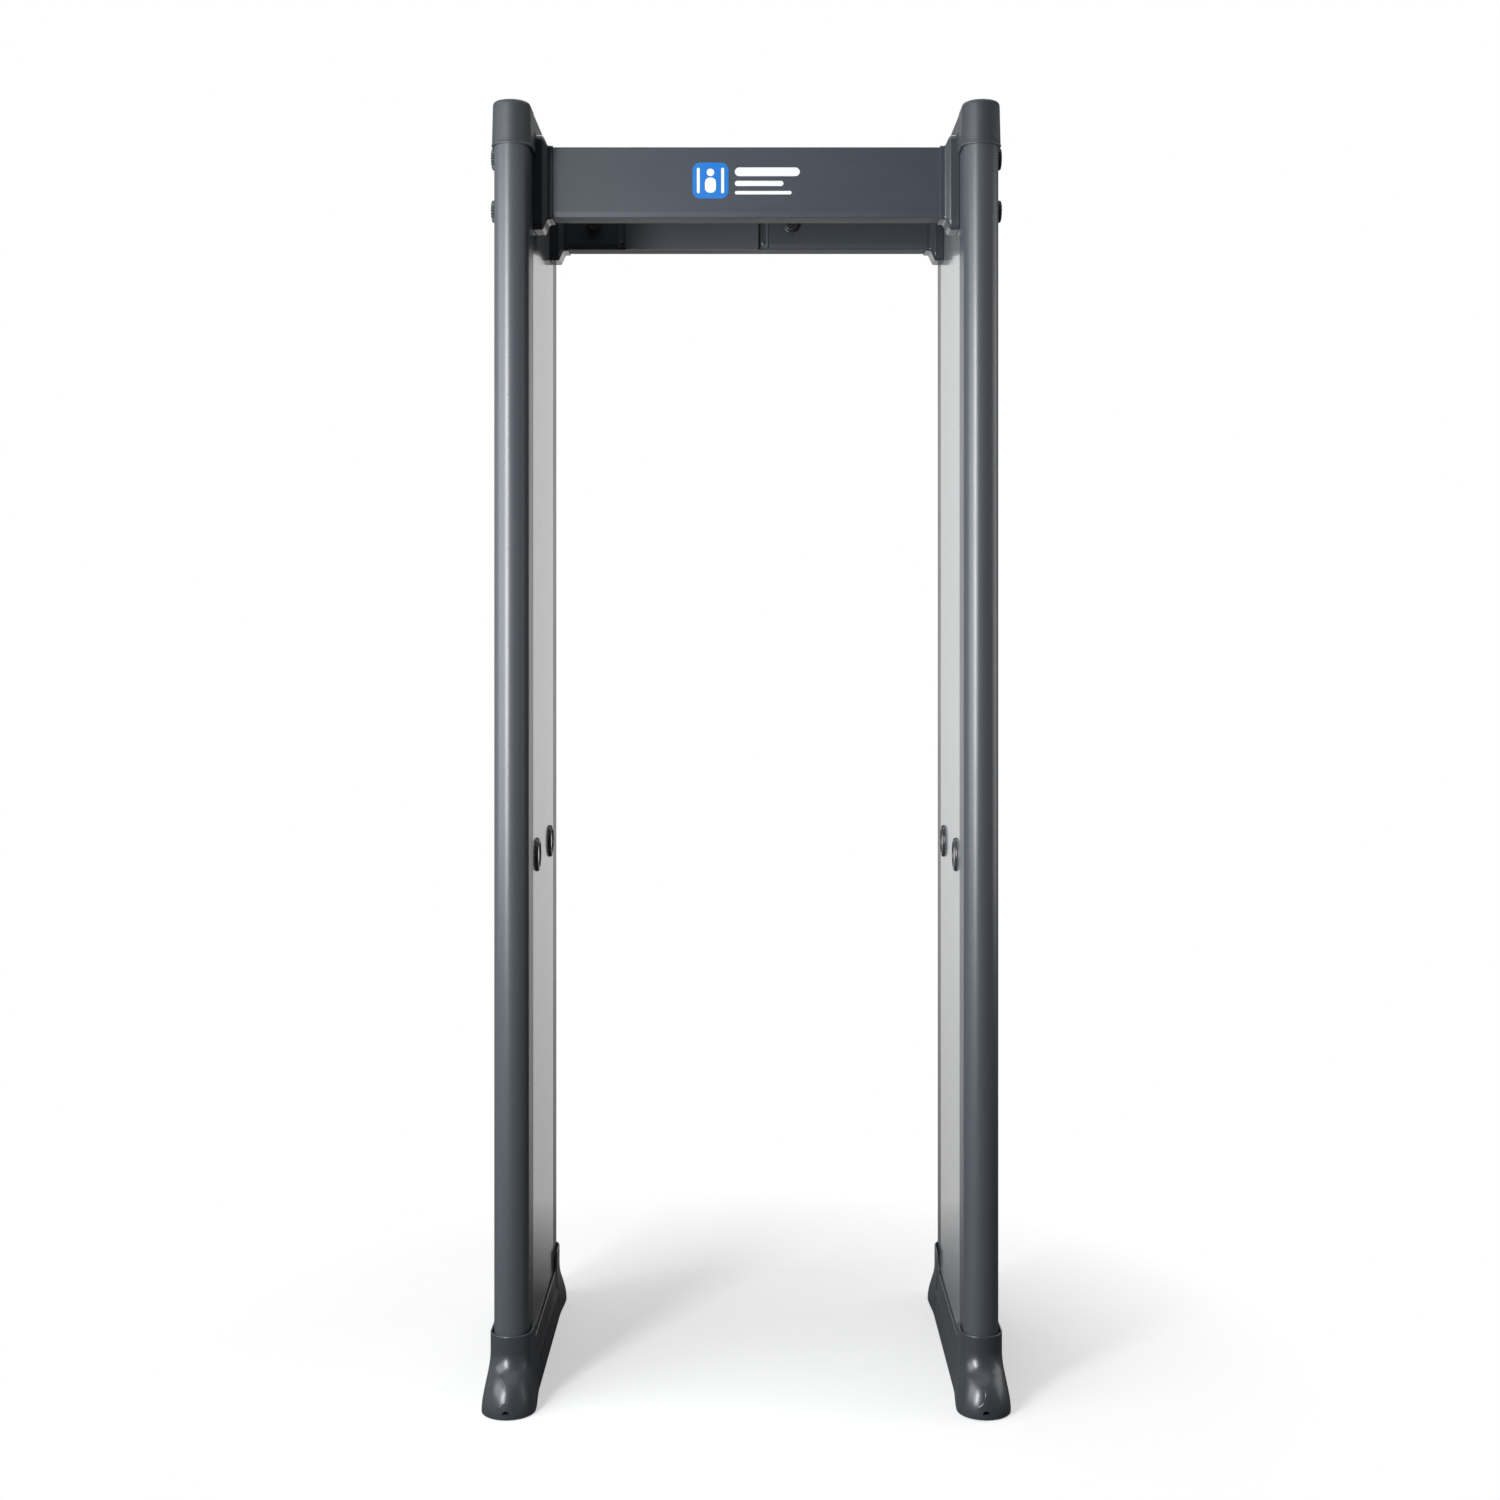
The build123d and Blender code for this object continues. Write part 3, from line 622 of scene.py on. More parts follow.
def shoe_point(column, z, extra=0.0):
    """Surface of the base shoe over a column at height z."""
    y, out_x, out_y = column
    sign = 1 if y > 0 else -1
    share = flare(z)
    half = COLLAR_HALF + FLARE_SIDE * share
    back = COLLAR_HALF + FLARE_BACK * share
    centre = NOSE_Y + FLARE_CENTRE * share
    nose = toe_tip(z) - centre
    if abs(y) >= NOSE_Y:
        return (SIDE_X + out_x * (half + extra), sign * (centre + abs(out_y) * (nose + extra)), z)
    along = max(abs(y) - COLLAR_BACK_Y, 0.0) / (NOSE_Y - COLLAR_BACK_Y)
    foot_half = blend(back, half, smooth(along))
    reach = blend(COLLAR_BACK_Y, centre, along) if abs(y) > COLLAR_BACK_Y else abs(y)
    widening = smooth((abs(y) - COLLAR_BACK_Y + 6 * MM) / (10 * MM))
    width = blend(skirt_half(z), foot_half, widening) + extra
    return (SIDE_X + math.copysign(width, out_x), sign * reach, z)


def foot_share(y):
    """0 along the skirt, 1 at the foot's collar."""
    return smooth((abs(y) - COLLAR_BACK_Y + 8 * MM) / (14 * MM))


def shoe_top(y):
    """Upper edge of the shoe: the skirt's edge steps up to the collar."""
    return blend(SKIRT_Z, COLLAR_Z, foot_share(y))


def shoe_shape():
    """One moulding: a skirt between two hoof-like feet with collars that stand off the posts."""
    lip = 1.5 * MM
    rows = 56
    rings = [[column_point(c, 0.0, SHOE_Z) for c in COLUMNS]]
    rings.append([shoe_point(c, SHOE_Z, -1.2 * MM) for c in COLUMNS])
    edge = [shoe_point(c, SHOE_Z, -0.4 * MM) for c in COLUMNS]
    rings.append([(x, y, SHOE_Z + 0.2 * MM) for x, y, _ in edge])
    for i in range(rows + 1):
        ring = []
        for c in COLUMNS:
            ring.append(shoe_point(c, blend(SHOE_Z + 1.2 * MM, shoe_top(c[0]) - lip, i / rows)))
        rings.append(ring)
    for i in range(1, 7):
        angle = math.pi * i / 6
        ring = []
        for c in COLUMNS:
            top = shoe_top(c[0])
            x, y, _ = shoe_point(c, top - lip, -lip * (1 - math.cos(angle)))
            ring.append((x, y, top - lip + lip * math.sin(angle)))
        rings.append(ring)
    for depth, closed in ((8 * MM, False), (8.2 * MM, True)):
        ring = []
        for c in COLUMNS:
            gap = 0.0 if closed else blend(SKIRT_GAP, COLLAR_GAP, foot_share(c[0]))
            ring.append(column_point(c, HALF_POST + gap, shoe_top(c[0]) - depth))
        rings.append(ring)
    return rings_mesh(rings, False, False)


def toe_slot():
    """Half-round slot in the tip of a front toe, as a solid to cut with."""
    radius = 6.3 * MM
    depth = 10 * MM
    low = SHOE_Z + 8.5 * MM
    angles = [math.pi * i / 20 for i in range(21)]
    outline = [(radius * math.cos(angle), radius * math.sin(angle)) for angle in angles]
    rings = []
    for y in (-TOE_TIP - 4 * MM, -TOE_TIP + depth):
        rings.append([(SIDE_X + u, y, low + v) for u, v in outline])
    return rings_mesh(rings)


def build_toe_slot_shades():
    """Dark back wall of each toe slot: painted shade of the slot's depth."""
    half = 5.6 * MM
    centre = (SIDE_X, SHOE_Z + 10.6 * MM)
    span = (-TOE_TIP + 9.5 * MM, -TOE_TIP + 11 * MM)
    shape = plate("y", centre, (2 * half, 4.2 * MM), span, 1.8 * MM, 0.3 * MM)
    dark = MATERIALS["inner_plastic"]
    for side, sx in SIDES.items():
        for end, sy in ENDS.items():
            # very dark plate: painted shade deep in the toe slot
            make_piece(f"{side}_{end}_toe_slot_shade", mirrored(shape, sx, sy), dark)


def build_caps_and_shoes():
    on_sides("cap_shell", cap_shape(), MATERIALS["moulding"], "top_cap", flat=False)
    slot = toe_slot()
    slots = joined(slot, mirrored(slot, 1, 1))
    on_sides("shoe_shell", carved(shoe_shape(), slots), SHOE_GLOSS, "base_shoe", flat=False)
    build_toe_slot_shades()


# ---- anchor covers


def toe_point(x, z, extra):
    """Surface of a front foot's toe at sideways offset x and height z."""
    share = flare(z)
    half = COLLAR_HALF + FLARE_SIDE * share
    centre = NOSE_Y + FLARE_CENTRE * share
    nose = toe_tip(z) - centre
    return (SIDE_X + x, -(centre + nose * math.sqrt(1 - (x / half) ** 2) + extra), z)


def anchor_cover_shape():
    """Raised tongue that follows the nose of the foot, with rounded corners and edges."""
    low, high = node_box("right_front_anchor_cover")
    size = (high.x - low.x, high.z - low.z)
    middle = (low.z + high.z) / 2
    rings = []
    profile = [(0.0, -1.5), (0.0, 0.05), (0.25, 0.28), (0.7, 0.42), (1.4, 0.5)]
    profile += [(1.4 + i * 1.9, 0.5) for i in range(1, 6)]
    for inset, extra in profile:
        radius = max(4 - inset, 0.4) * MM
        outline = rounded_outline(size[0] - 2 * inset * MM, size[1] - 2 * inset * MM, radius, 6)
        rings.append([toe_point(u, middle + v, extra * MM) for u, v in outline])
    last = rings[-1]
    verts, faces = rings_mesh(rings, True, False)
    hub = len(verts)
    verts.append(toe_point(0, middle, 0.5 * MM))
    start = hub - len(last)
    faces += [(start + i, start + (i + 1) % len(last), hub) for i in range(len(last))]
    return verts, faces


def build_anchor_covers():
    on_corners("anchor_tongue", anchor_cover_shape(), SHOE_GLOSS, "anchor_cover", flat=False)


# ---- header beams and brackets


def beam_outline():
    """(y, z) section of the front beam about its centre: flat faces, lower lips that lean in."""
    lip = 10 * MM
    lean = 2.5 * MM
    half_y, half_z = BEAM_HALF_Y, BEAM_HALF_Z
    corners = [(half_y, half_z, 3), (-half_y, half_z, 3), (-half_y, -half_z + lip, 4),
               (-half_y + lean, -half_z, 2), (half_y - lean, -half_z, 2), (half_y, -half_z + lip, 4)]
    return filleted(corners)


def filleted(corners):
    """Closed outline through (u, v, radius in mm) corners, each one rounded."""
    steps = 5
    points = []
    count = len(corners)
    for i, (u, v, radius) in enumerate(corners):
        here = Vector((u, v))
        before = (Vector(corners[i - 1][:2]) - here).normalized()
        after = (Vector(corners[(i + 1) % count][:2]) - here).normalized()
        half_turn = before.angle(after) / 2
        reach = radius * MM / math.tan(half_turn)
        start = here + before * reach
        finish = here + after * reach
        for k in range(steps + 1):
            t = k / steps
            points.append(tuple((1 - t) ** 2 * start + 2 * t * (1 - t) * here + t * t * finish))
    return points


def beam_shape():
    """The front beam from end to end, in equal lengths."""
    stations = 25
    rings = []
    for i in range(stations):
        x = blend(beam_low.x, beam_high.x, i / (stations - 1))
        rings.append([(x, -BEAM_Y + u, BEAM_Z + v) for u, v in beam_outline()])
    return rings_mesh(rings)


def bracket_shape():
    """Sleeve round the beam end that swells in an S-curve to a thick rounded flange."""
    sleeve = 2.6 * MM
    flare_z = (bracket_high.z - bracket_low.z) / 2 - BEAM_HALF_Z - sleeve
    flare_y = (bracket_high.y - bracket_low.y) / 2 - BEAM_HALF_Y - sleeve
    start = bracket_low.x
    swell = (start + 7 * MM, start + 19 * MM)
    rows = [(start + 1.0 * MM, -2.4, 0), (start + 0.2 * MM, -2.2, 0), (start, -0.9, 0),
            (start + 0.25 * MM, -0.25, 0), (start + 1.0 * MM, 0.0, 0), (swell[0], 0.0, 0)]
    steps = 14
    for i in range(1, steps + 1):
        rows.append((blend(swell[0], swell[1], i / steps), 0.0, 0.5 - 0.5 * math.cos(math.pi * i / steps)))
    edge = 2.0 * MM
    for i in range(6):
        angle = math.pi / 2 * i / 5
        rows.append((bracket_high.x - edge + edge * math.sin(angle), -edge / MM * (1 - math.cos(angle)), 1))
    rings = []
    for x, grow, share in rows:
        depth = 2 * (BEAM_HALF_Y + sleeve + flare_y * share + grow * MM)
        height = 2 * (BEAM_HALF_Z + sleeve + flare_z * share + grow * MM)
        corner = (4.5 + 9 * share + grow) * MM
        outline = rounded_outline(depth, height, corner, 9)
        rings.append([(x, -BEAM_Y + u, BEAM_Z + v) for u, v in outline])
    return rings_mesh(rings, False, True)


def inlet_pocket():
    """Room for the mains inlet in the outer face of the rear beam."""
    low, high, centre, (wide, tall) = face_box("mains_inlet")
    gap = 0.3 * MM
    size = (wide + 2 * gap, tall + 2 * gap)
    return plate("y", centre, size, (low.y - gap, high.y + 20 * MM), 2.2 * MM, 0.1 * MM)


def build_header():
    beam = beam_shape()
    make_piece("front_beam_shell", beam, MATERIALS["beam_paint"], ("front_beam",))
    rear = carved(mirrored(beam, 1, 1), inlet_pocket())
    make_piece("rear_beam_shell", rear, MATERIALS["beam_paint"], ("rear_beam",))
    on_corners("bracket_shell", bracket_shape(), MATERIALS["bracket_plastic"], "bracket")


# ---- hand knobs


def knob_shape(node):
    """Moulded knob: scalloped grip, dished face, hub, and the stud that it turns."""
    low, high = node_box(node)
    centre = ((low.y + high.y) / 2, (low.z + high.z) / 2)
    radius = (high.z - low.z) / 2
    base = OUTER_X + 0.3 * MM
    face = high.x
    profile = [(4 * MM, low.x), (4 * MM, base - 0.01 * MM), (12.5 * MM, base), (12.5 * MM, base + 2.6 * MM),
               (radius - 2.6 * MM, base + 3.0 * MM, 0.8), (radius - 0.9 * MM, base + 3.5 * MM, 0.9),
               (radius, base + 4.8 * MM, 1), (radius, face - 3.2 * MM, 1),
               (radius - 0.5 * MM, face - 1.6 * MM, 1),
               (radius - 1.6 * MM, face - 0.5 * MM, 0.9), (radius - 3.4 * MM, face, 0.5),
               (radius - 5.6 * MM, face - 0.1 * MM, 0.1), (radius - 6.6 * MM, face - 0.9 * MM),
               (radius - 9 * MM, face - 1.3 * MM), (2 * MM, face - 1.4 * MM), (0.01 * MM, face - 1.4 * MM)]
    return lathe("x", centre, profile, 192, 24, 1.7 * MM)


def build_knobs():
    for level in ("upper", "lower"):
        shape = knob_shape(f"right_front_{level}_knob")
        on_corners(f"{level}_grip", shape, MATERIALS["knob_plastic"], f"{level}_knob", True,
                   40)


# ---- sensors


def build_sensors():
    """A ring bezel and a domed window at each of the four sensors."""
    centre = ((bezel_low.y + bezel_high.y) / 2, (bezel_low.z + bezel_high.z) / 2)
    radius = (bezel_high.z - bezel_low.z) / 2
    front = bezel_low.x
    window = (lens_high.z - lens_low.z) / 2
    profile = [(24 * MM, bezel_high.x), (24 * MM, INNER_X), (radius - 0.4 * MM, INNER_X),
               (radius, INNER_X - 0.5 * MM), (radius, INNER_X - 1.6 * MM),
               (radius - 0.7 * MM, INNER_X - 3.2 * MM),
               (radius - 2.0 * MM, front + 0.4 * MM), (radius - 3.2 * MM, front), (window + 2.2 * MM, front),
               (window + 1.0 * MM, front + 0.4 * MM), (window + 0.2 * MM, front + 1.6 * MM),
               (window + 0.1 * MM, lens_high.x), (window + 0.1 * MM, bezel_high.x)]
    segments = 96
    verts = lathe("x", centre, profile, segments)[0]
    ring = (verts, ring_faces(segments, len(profile), True))
    on_corners("sensor_ring", ring, MATERIALS["bezel_plastic"], "sensor_bezel", sharp=40)
    dome = [(window, lens_high.x), (window, lens_low.x + 1.4 * MM)]
    for i in range(1, 9):
        share = i / 8
        dome.append((max(window * math.cos(math.pi / 2 * share), 0.005 * MM),
                     lens_low.x + 1.4 * MM * (1 - math.sin(math.pi / 2 * share))))
    window_shape = lathe("x", centre, dome, 72)
    on_corners("sensor_window", window_shape, MATERIALS["lens_plastic"], "sensor_lens")


# ---- control unit in the rear beam

REAR_INNER_Y = BEAM_Y - BEAM_HALF_Y


def build_service_side():
    """Inner face of the rear beam: service cover, its screws and the capped sockets.

    A thin black plate on the housing paints the shade of the latch recess beside the cover.
    """
    low, high, centre, size = face_box("service_cover")
    cover = plate("y", centre, size, (low.y, high.y), 3 * MM, 1.6 * MM)
    make_piece("service_lid", cover, MATERIALS["cover_paint"], ("service_cover",))
    housing_y = node_box("control_housing")[0].y
    recess_x = (high.x + 2.5 * MM, high.x + 13 * MM)
    recess = [(recess_x[0], low.z + 4 * MM), (recess_x[1], low.z + 14 * MM), (recess_x[1], high.z - 14 * MM),
              (recess_x[0], high.z - 4 * MM)]
    rings = [[(x, y, z) for x, z in recess] for y in (housing_y - 0.4 * MM, housing_y + 0.5 * MM)]
    # flat black plate: painted shade where the latch recess lies
    make_piece("latch_recess_shade", rings_mesh(rings), MATERIALS["inner_plastic"])
    build_screws()
    build_sockets()


def screw_shape(centre, face):
    """Pan head with a round recess."""
    head = [(3.5 * MM, face), (3.5 * MM, face - 1.0 * MM), (3.0 * MM, face - 1.9 * MM),
            (2.4 * MM, face - 2.2 * MM), (1.7 * MM, face - 2.2 * MM), (1.6 * MM, face - 0.9 * MM),
            (0.01 * MM, face - 0.8 * MM)]
    return lathe("y", centre, head, 36)


def build_screws():
    """Four screw heads at the corners of the service cover's flanges."""
    low, high = node_box("cover_screws")
    radius = 3.5 * MM
    heads = []
    for x in (low.x + radius, high.x - radius):
        for z in (low.z + radius, high.z - radius):
            heads.append(screw_shape((x, z), high.y))
    steel = MATERIALS["screw_steel"]
    make_piece("cover_screw_heads", joined(*heads), steel, ("cover_screws",))


def build_sockets():
    """Round socket with a ribbed cap on each side of the service cover."""
    low, high = node_box("cable_sockets")
    radius = (high.z - low.z) / 2
    face = REAR_INNER_Y
    caps = []
    for x in (low.x + radius, high.x - radius):
        profile = [(9 * MM, high.y), (9 * MM, face), (radius, face), (radius, face - 2.6 * MM),
                   (radius - 1.2 * MM, face - 3.0 * MM), (radius - 1.2 * MM, face - 4.0 * MM, 1),
                   (radius - 1.0 * MM, face - 4.4 * MM, 1), (radius - 1.0 * MM, low.y + 2.0 * MM, 1),
                   (radius - 2.0 * MM, low.y + 0.7 * MM, 0.6), (radius - 3.6 * MM, low.y),
                   (radius - 6.0 * MM, low.y + 0.1 * MM), (radius - 6.6 * MM, low.y + 0.8 * MM),
                   (0.01 * MM, low.y + 0.9 * MM)]
        caps.append(lathe("y", (x, (low.z + high.z) / 2), profile, 120, 20, 1.0 * MM))
    make_piece("socket_caps", joined(*caps), MATERIALS["knob_plastic"], ("cable_sockets",))


def build_controls():
    """Outer face of the rear beam: fascia with display, keys, key lock and mains inlet."""
    low, high, centre, size = face_box("control_fascia")
    face = plate("y", centre, size, (low.y, high.y - 0.8 * MM), 6 * MM, 1.4 * MM)
    face = carved(face, inlet_pocket())
    make_piece("fascia_plate", face, MATERIALS["unit_plastic"], ("control_fascia",))
    build_display()
    build_keys()
    build_lock()
    build_inlet()


def build_display():
    """Glass pane with a row of lit bars."""
    low, high, centre, size = face_box("display_window")
    glass = plate("y", centre, size, (low.y, high.y + 0.4 * MM), 3 * MM, 0.5 * MM)
    make_piece("display_pane", glass, MATERIALS["display_glass"], ("display_window",))
    green = glow_material("display_green", (0.10, 0.75, 0.22), 1.4)
    bars = []
    count = 14
    for i in range(count):
        x = blend(low.x + 9 * MM, high.x - 9 * MM, i / (count - 1))
        tall = (5 + 14 * math.sin(math.pi * (i + 1) / (count + 1))) * MM
        bars.append(plate("y", (x, low.z + 9 * MM + tall / 2), (3.6 * MM, tall),
                          (high.y + 0.3 * MM, high.y + 0.55 * MM), 0.6 * MM, 0.1 * MM, 3))
    make_piece("display_bars", joined(*bars), green)


def build_keys():
    for number in range(1, 5):
        node = f"control_key_{number}"
        low, high, centre, size = face_box(node)
        radius = size[1] / 2
        profile = [(radius, low.y), (radius, high.y - 1.2 * MM), (radius - 0.3 * MM, high.y - 0.5 * MM),
                   (radius - 0.9 * MM, high.y - 0.1 * MM), (radius - 1.6 * MM, high.y),
                   (radius - 3.2 * MM, high.y - 0.25 * MM), (0.01 * MM, high.y - 0.5 * MM)]
        cap = lathe("y", centre, profile, 64)
        make_piece(f"key_cap_{number}", cap, MATERIALS["key_rubber"], (node,), node)


def build_lock():
    """Turning core with its keyway, the keyway a thin dark plate of painted shade, and a fixed collar round
    it.
    """
    low, high, centre, size = face_box("lock_rotor")
    radius = size[1] / 2
    profile = [(radius, low.y), (radius, high.y - 0.8 * MM), (radius - 0.3 * MM, high.y - 0.25 * MM),
               (radius - 0.9 * MM, high.y), (radius - 2.2 * MM, high.y),
               (radius - 2.6 * MM, high.y - 0.5 * MM),
               (0.01 * MM, high.y - 0.5 * MM)]
    core = lathe("y", centre, profile, 64)
    make_piece("lock_core", core, MATERIALS["lock_steel"], ("lock_rotor",), "lock_rotor")
    # keyway: thin black plate on the core face, painted shade of the slot
    slot_span = (high.y - 1.0 * MM, high.y - 0.35 * MM)
    slot = plate("y", centre, (2 * MM, 9 * MM), slot_span, 0.9 * MM, 0.1 * MM, 4)
    make_piece("lock_keyway_shade", slot, MATERIALS["inner_plastic"], (), "lock_rotor")
    ring = [(radius + 0.1 * MM, high.y - 2.9 * MM), (radius + 3 * MM, high.y - 2.9 * MM),
            (radius + 3 * MM, high.y - 2.4 * MM), (radius + 2.4 * MM, high.y - 1.7 * MM),
            (radius + 0.8 * MM, high.y - 1.4 * MM), (radius + 0.2 * MM, high.y - 1.7 * MM)]
    verts = lathe("y", centre, ring, 64)[0]
    collar = (verts, ring_faces(64, len(ring), True))
    make_piece("lock_collar", collar, MATERIALS["screw_steel"])


def build_inlet():
    """Three flat pins in the recess of the inlet."""
    low, high, centre, _ = face_box("mains_inlet")
    pins = []
    for dx, dz in ((-7, 1.5), (7, 1.5), (0, -2.5)):
        pins.append(plate("y", (centre[0] + dx * MM, centre[1] + dz * MM), (2 * MM, 4 * MM),
                          (low.y + 2 * MM, high.y - 4 * MM), 0.4 * MM, 0.3 * MM, 3))
    make_piece("inlet_pins", joined(*pins), MATERIALS["lock_steel"])


# ---- generic pass-through mark on the front beam

BADGE_X = -62 * MM
BADGE_SIZE = (62 * MM, 62 * MM)
BARS_X = -20 * MM
# x, z, width, height and corner radius in mm: two uprights, head and body
MARK_PARTS = [(-21, 0, 5, 44, 2.4), (21, 0, 5, 44, 2.4), (0, 14, 13, 13, 6.4), (0, -8, 19, 26, 8)]
# z, length and height in mm of the bars beside the badge
MARK_BARS = [(15, 112, 15), (-5, 84, 9), (-21, 98, 6)]


def build_mark():
    """Plain pictogram of a person between two uprights, and three bars beside it."""
    white = moulded("mark_white", (0.56, 0.57, 0.58), (0.60, 0.61, 0.62), (0.35, 0.45), 800.0, 0.00001)
    blue = moulded("mark_blue", (0.004, 0.11, 0.38), (0.006, 0.13, 0.42), (0.35, 0.45), 800.0, 0.00001)
    face = -BEAM_Y - BEAM_HALF_Y
    middle = BEAM_Z + 3 * MM
    layer = (face - 0.16 * MM, face + 0.05 * MM)
    over = (face - 0.24 * MM, face + 0.05 * MM)
    badge = plate("y", (BADGE_X, middle), BADGE_SIZE, layer, 13 * MM, 0.05 * MM, 10)
    make_piece("mark_badge", badge, blue)
    parts = []
    for dx, dz, wide, tall, corner in MARK_PARTS:
        centre = (BADGE_X + dx * MM, middle + dz * MM)
        parts.append(plate("y", centre, (wide * MM, tall * MM), over, corner * MM, 0.05 * MM, 8))
    make_piece("mark_figure", joined(*parts), white)
    bars = []
    for dz, length, tall in MARK_BARS:
        centre = (BARS_X + length / 2 * MM, middle + dz * MM)
        bars.append(plate("y", centre, (length * MM, tall * MM), layer, tall * MM / 2, 0.05 * MM, 8))
    make_piece("mark_bars", joined(*bars), white)


# ---- studio

FLOOR_RADIUS = 9.0
# radius over which the floor fades out, its own glow and tone to the camera, and its tone as a bounce
FLOOR_FADE = (0.45, 1.0)
FLOOR_GLOW = 0.43
FLOOR_SHADE = 0.42
FLOOR_BOUNCE = 0.12
# axis, the span of its direction cosine over which the glow changes, and the glow it adds
WORLD_GLOW = [("Y", (0.90, 0.96), 1.0), ("Z", (0.5, 0.95), 0.35), ("X", (0.35, 0.85), 0.30),
              ("-X", (0.35, 0.85), 0.45), ("-Z", (0.02, 0.34), -0.32)]
WORLD_LEAST = 0.05
# key panel: front end of its middle line, the way it runs, the way it faces, its height, the lengths of
# the bright strip and of the rest, and where the rest starts
KEY_EDGE = Vector((-1.19, -2.33, 1.54))
KEY_RUN = Vector((-0.37, 0.93, 0.0))
KEY_FACING = (0.93, 0.37, 0.0)
KEY_HEIGHT = 1.7
KEY_STRIP = 0.5
KEY_REST = 1.65
KEY_REST_START = 0.55
KEY_COLOUR = (0.97, 0.985, 1.0)
KEY_LEVEL = 42.0
KEY_REST_LEVEL = 5.0
TOP_LEVEL = 0.8
BACK_LEVEL = 3.0
RIGHT_LEVEL = 2.2
# camera fitted to the photo's vanishing point and edges
CAMERA_PLACE = (0.0105, -3.62, 1.309)
CAMERA_LENS = 48.0
CAMERA_SENSOR = 36.0
CAMERA_SHIFT = (-0.00167, -0.0813)


def build_floor():
    """Pale floor that fades out into the white surroundings, brighter to the camera than as a bounce."""
    mesh = bpy.data.meshes.new("studio_floor")
    work = bmesh.new()
    bmesh.ops.create_circle(work, cap_ends=True, segments=96, radius=FLOOR_RADIUS)
    work.to_mesh(mesh)
    work.free()
    floor = bpy.data.objects.new("studio_floor", mesh)
    bpy.context.scene.collection.objects.link(floor)
    recipe = Recipe("studio_floor")
    low = (FLOOR_SHADE - 0.01,) * 3
    high = (FLOOR_SHADE + 0.01,) * 3
    recipe.colour(recipe.mixed(recipe.ranged(recipe.noise(2.0), 0.0, 1.0), low, high))
    recipe.fixed(Roughness=0.75, Emission_Color=(1, 1, 1, 1), Emission_Strength=FLOOR_GLOW)
    clear = recipe.node("ShaderNodeBsdfTransparent")
    mix = recipe.node("ShaderNodeMixShader")
    length = recipe.node("ShaderNodeVectorMath", operation="LENGTH")
    recipe.link(recipe.coords, length.inputs[0])
    recipe.link(recipe.ranged(length.outputs["Value"], 0.0, 1.0, *FLOOR_FADE), mix.inputs[0])
    dull = recipe.node("ShaderNodeBsdfDiffuse")
    dull.inputs["Color"].default_value = (FLOOR_BOUNCE,) * 3 + (1.0,)
    seen = recipe.node("ShaderNodeMixShader")
    recipe.link(recipe.node("ShaderNodeLightPath").outputs["Is Camera Ray"], seen.inputs[0])
    recipe.link(dull.outputs[0], seen.inputs[1])
    recipe.link(recipe.shader.outputs[0], seen.inputs[2])
    recipe.link(seen.outputs[0], mix.inputs[1])
    recipe.link(clear.outputs[0], mix.inputs[2])
    recipe.link(mix.outputs[0], recipe.tree.nodes["Material Output"].inputs["Surface"])
    mesh.materials.append(recipe.material)


def build_world():
    """White to the camera. As a light: a bright backdrop behind the gate, a soft ceiling, dim sides."""
    world = bpy.data.worlds.new("studio")
    bpy.context.scene.world = world
    world.use_nodes = True
    tree = world.node_tree
    background = tree.nodes["Background"]
    direction = tree.nodes.new("ShaderNodeSeparateXYZ")
    tree.links.new(tree.nodes.new("ShaderNodeTexCoord").outputs["Generated"], direction.inputs[0])
    total = None
    for axis, span, strength in WORLD_GLOW:
        part = tree.nodes.new("ShaderNodeMapRange")
        part.interpolation_type = "SMOOTHSTEP"
        sign = -1 if axis.startswith("-") else 1
        part.inputs["From Min"].default_value = sign * span[0]
        part.inputs["From Max"].default_value = sign * span[1]
        part.inputs["To Max"].default_value = strength
        tree.links.new(direction.outputs[axis[-1]], part.inputs["Value"])
        if total is None:
            total = part.outputs["Result"]
        else:
            add = tree.nodes.new("ShaderNodeMath")
            tree.links.new(total, add.inputs[0])
            tree.links.new(part.outputs["Result"], add.inputs[1])
            total = add.outputs[0]
    least = tree.nodes.new("ShaderNodeMath")
    least.operation = "MAXIMUM"
    least.inputs[1].default_value = WORLD_LEAST
    tree.links.new(total, least.inputs[0])
    tree.links.new(least.outputs[0], background.inputs["Strength"])
    background.inputs["Color"].default_value = (1, 1, 1, 1)
    seen = tree.nodes.new("ShaderNodeBackground")
    seen.inputs["Color"].default_value = (1, 1, 1, 1)
    seen.inputs["Strength"].default_value = 1.0
    path = tree.nodes.new("ShaderNodeLightPath")
    mix = tree.nodes.new("ShaderNodeMixShader")
    tree.links.new(path.outputs["Is Camera Ray"], mix.inputs[0])
    tree.links.new(background.outputs[0], mix.inputs[1])
    tree.links.new(seen.outputs[0], mix.inputs[2])
    tree.links.new(mix.outputs[0], tree.nodes["World Output"].inputs["Surface"])


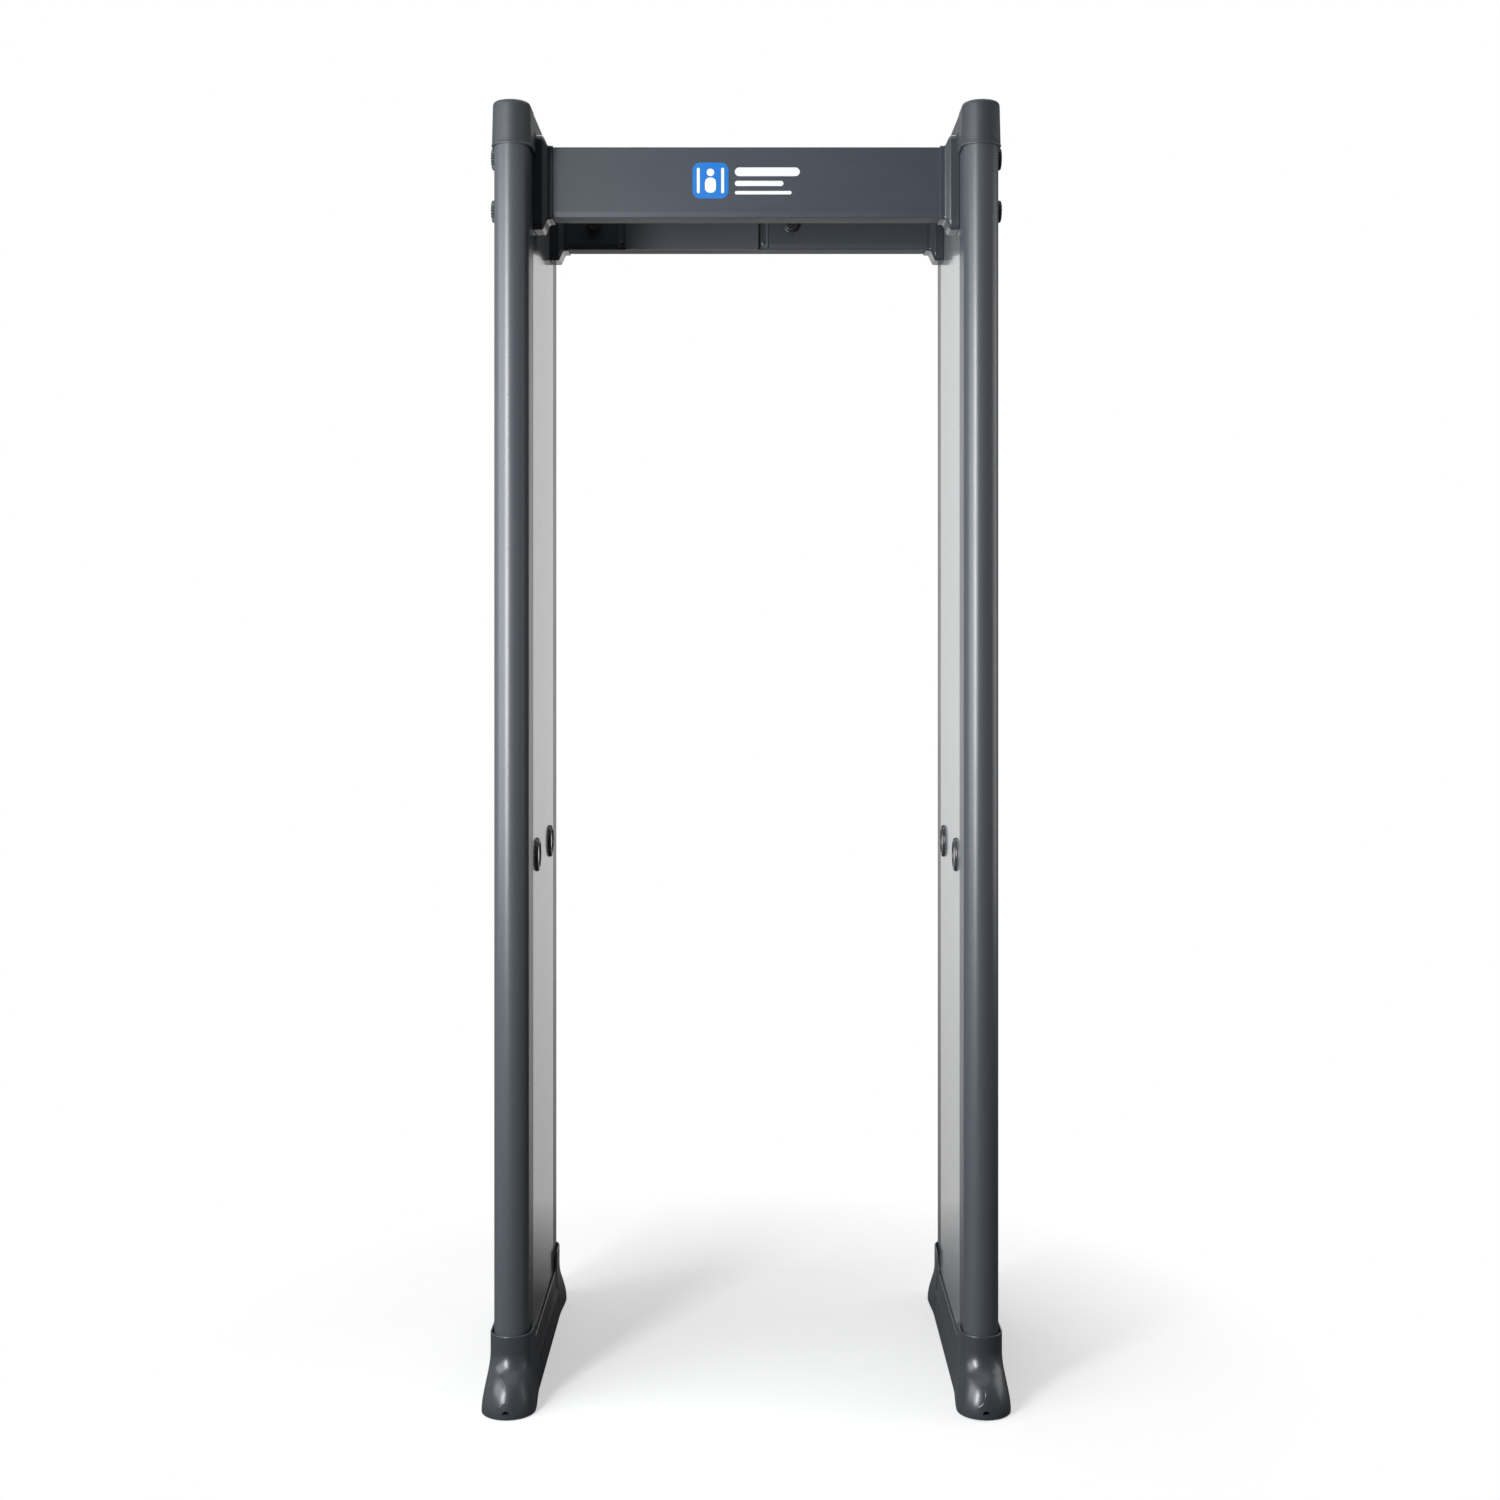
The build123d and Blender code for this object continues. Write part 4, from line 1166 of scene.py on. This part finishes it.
def softbox(name, place, facing, size, radiance, colour=(1, 1, 1)):
    """Rectangular light panel of a given brightness that no camera sees."""
    data = bpy.data.lights.new(name, "AREA")
    data.shape = "RECTANGLE"
    data.size, data.size_y = size
    data.energy = radiance * math.pi * size[0] * size[1]
    data.color = colour
    lamp = bpy.data.objects.new(name, data)
    bpy.context.scene.collection.objects.link(lamp)
    lamp.location = place
    lamp.rotation_euler = Vector(facing).to_track_quat("-Z", "Y").to_euler()
    lamp.visible_camera = False


def build_lights():
    """Key panel on the front left, bright at its front end, and a dim top panel."""
    strip_size = (KEY_STRIP, KEY_HEIGHT)
    rest_size = (KEY_REST, KEY_HEIGHT)
    strip_place = KEY_EDGE + KEY_RUN * (KEY_STRIP / 2)
    rest_place = KEY_EDGE + KEY_RUN * (KEY_REST_START + KEY_REST / 2)
    softbox("key_strip", strip_place, KEY_FACING, strip_size, KEY_LEVEL, KEY_COLOUR)
    softbox("key_remainder", rest_place, KEY_FACING, rest_size, KEY_REST_LEVEL, KEY_COLOUR)
    softbox("top_softbox", (0.0, 0.3, 3.9), (0, 0, -1), (3.6, 3.6), TOP_LEVEL)


def build_fills():
    """High panel behind the gate and a weak one on its right, so that those faces read as well."""
    softbox("right_fill", (2.6, 0.2, 1.5), (-1, 0, 0), (1.6, 2.0), RIGHT_LEVEL)
    softbox("back_fill", (0.0, 1.9, 3.9), (0, -0.5, -0.87), (2.4, 1.0), BACK_LEVEL)


def build_camera():
    data = bpy.data.cameras.new("camera")
    data.sensor_width = CAMERA_SENSOR
    data.lens = CAMERA_LENS
    data.shift_x, data.shift_y = CAMERA_SHIFT
    data.clip_end = 100
    camera = bpy.data.objects.new("camera", data)
    bpy.context.scene.collection.objects.link(camera)
    camera.location = CAMERA_PLACE
    camera.rotation_euler = (math.radians(90), 0, 0)
    bpy.context.scene.camera = camera


bpy.context.scene.view_settings.view_transform = "Standard"
paint_frame()
build_panels()
build_caps_and_shoes()
build_anchor_covers()
build_header()
build_knobs()
build_sensors()
build_service_side()
build_controls()
build_mark()
build_floor()
build_world()
build_lights()
build_fills()
build_camera()
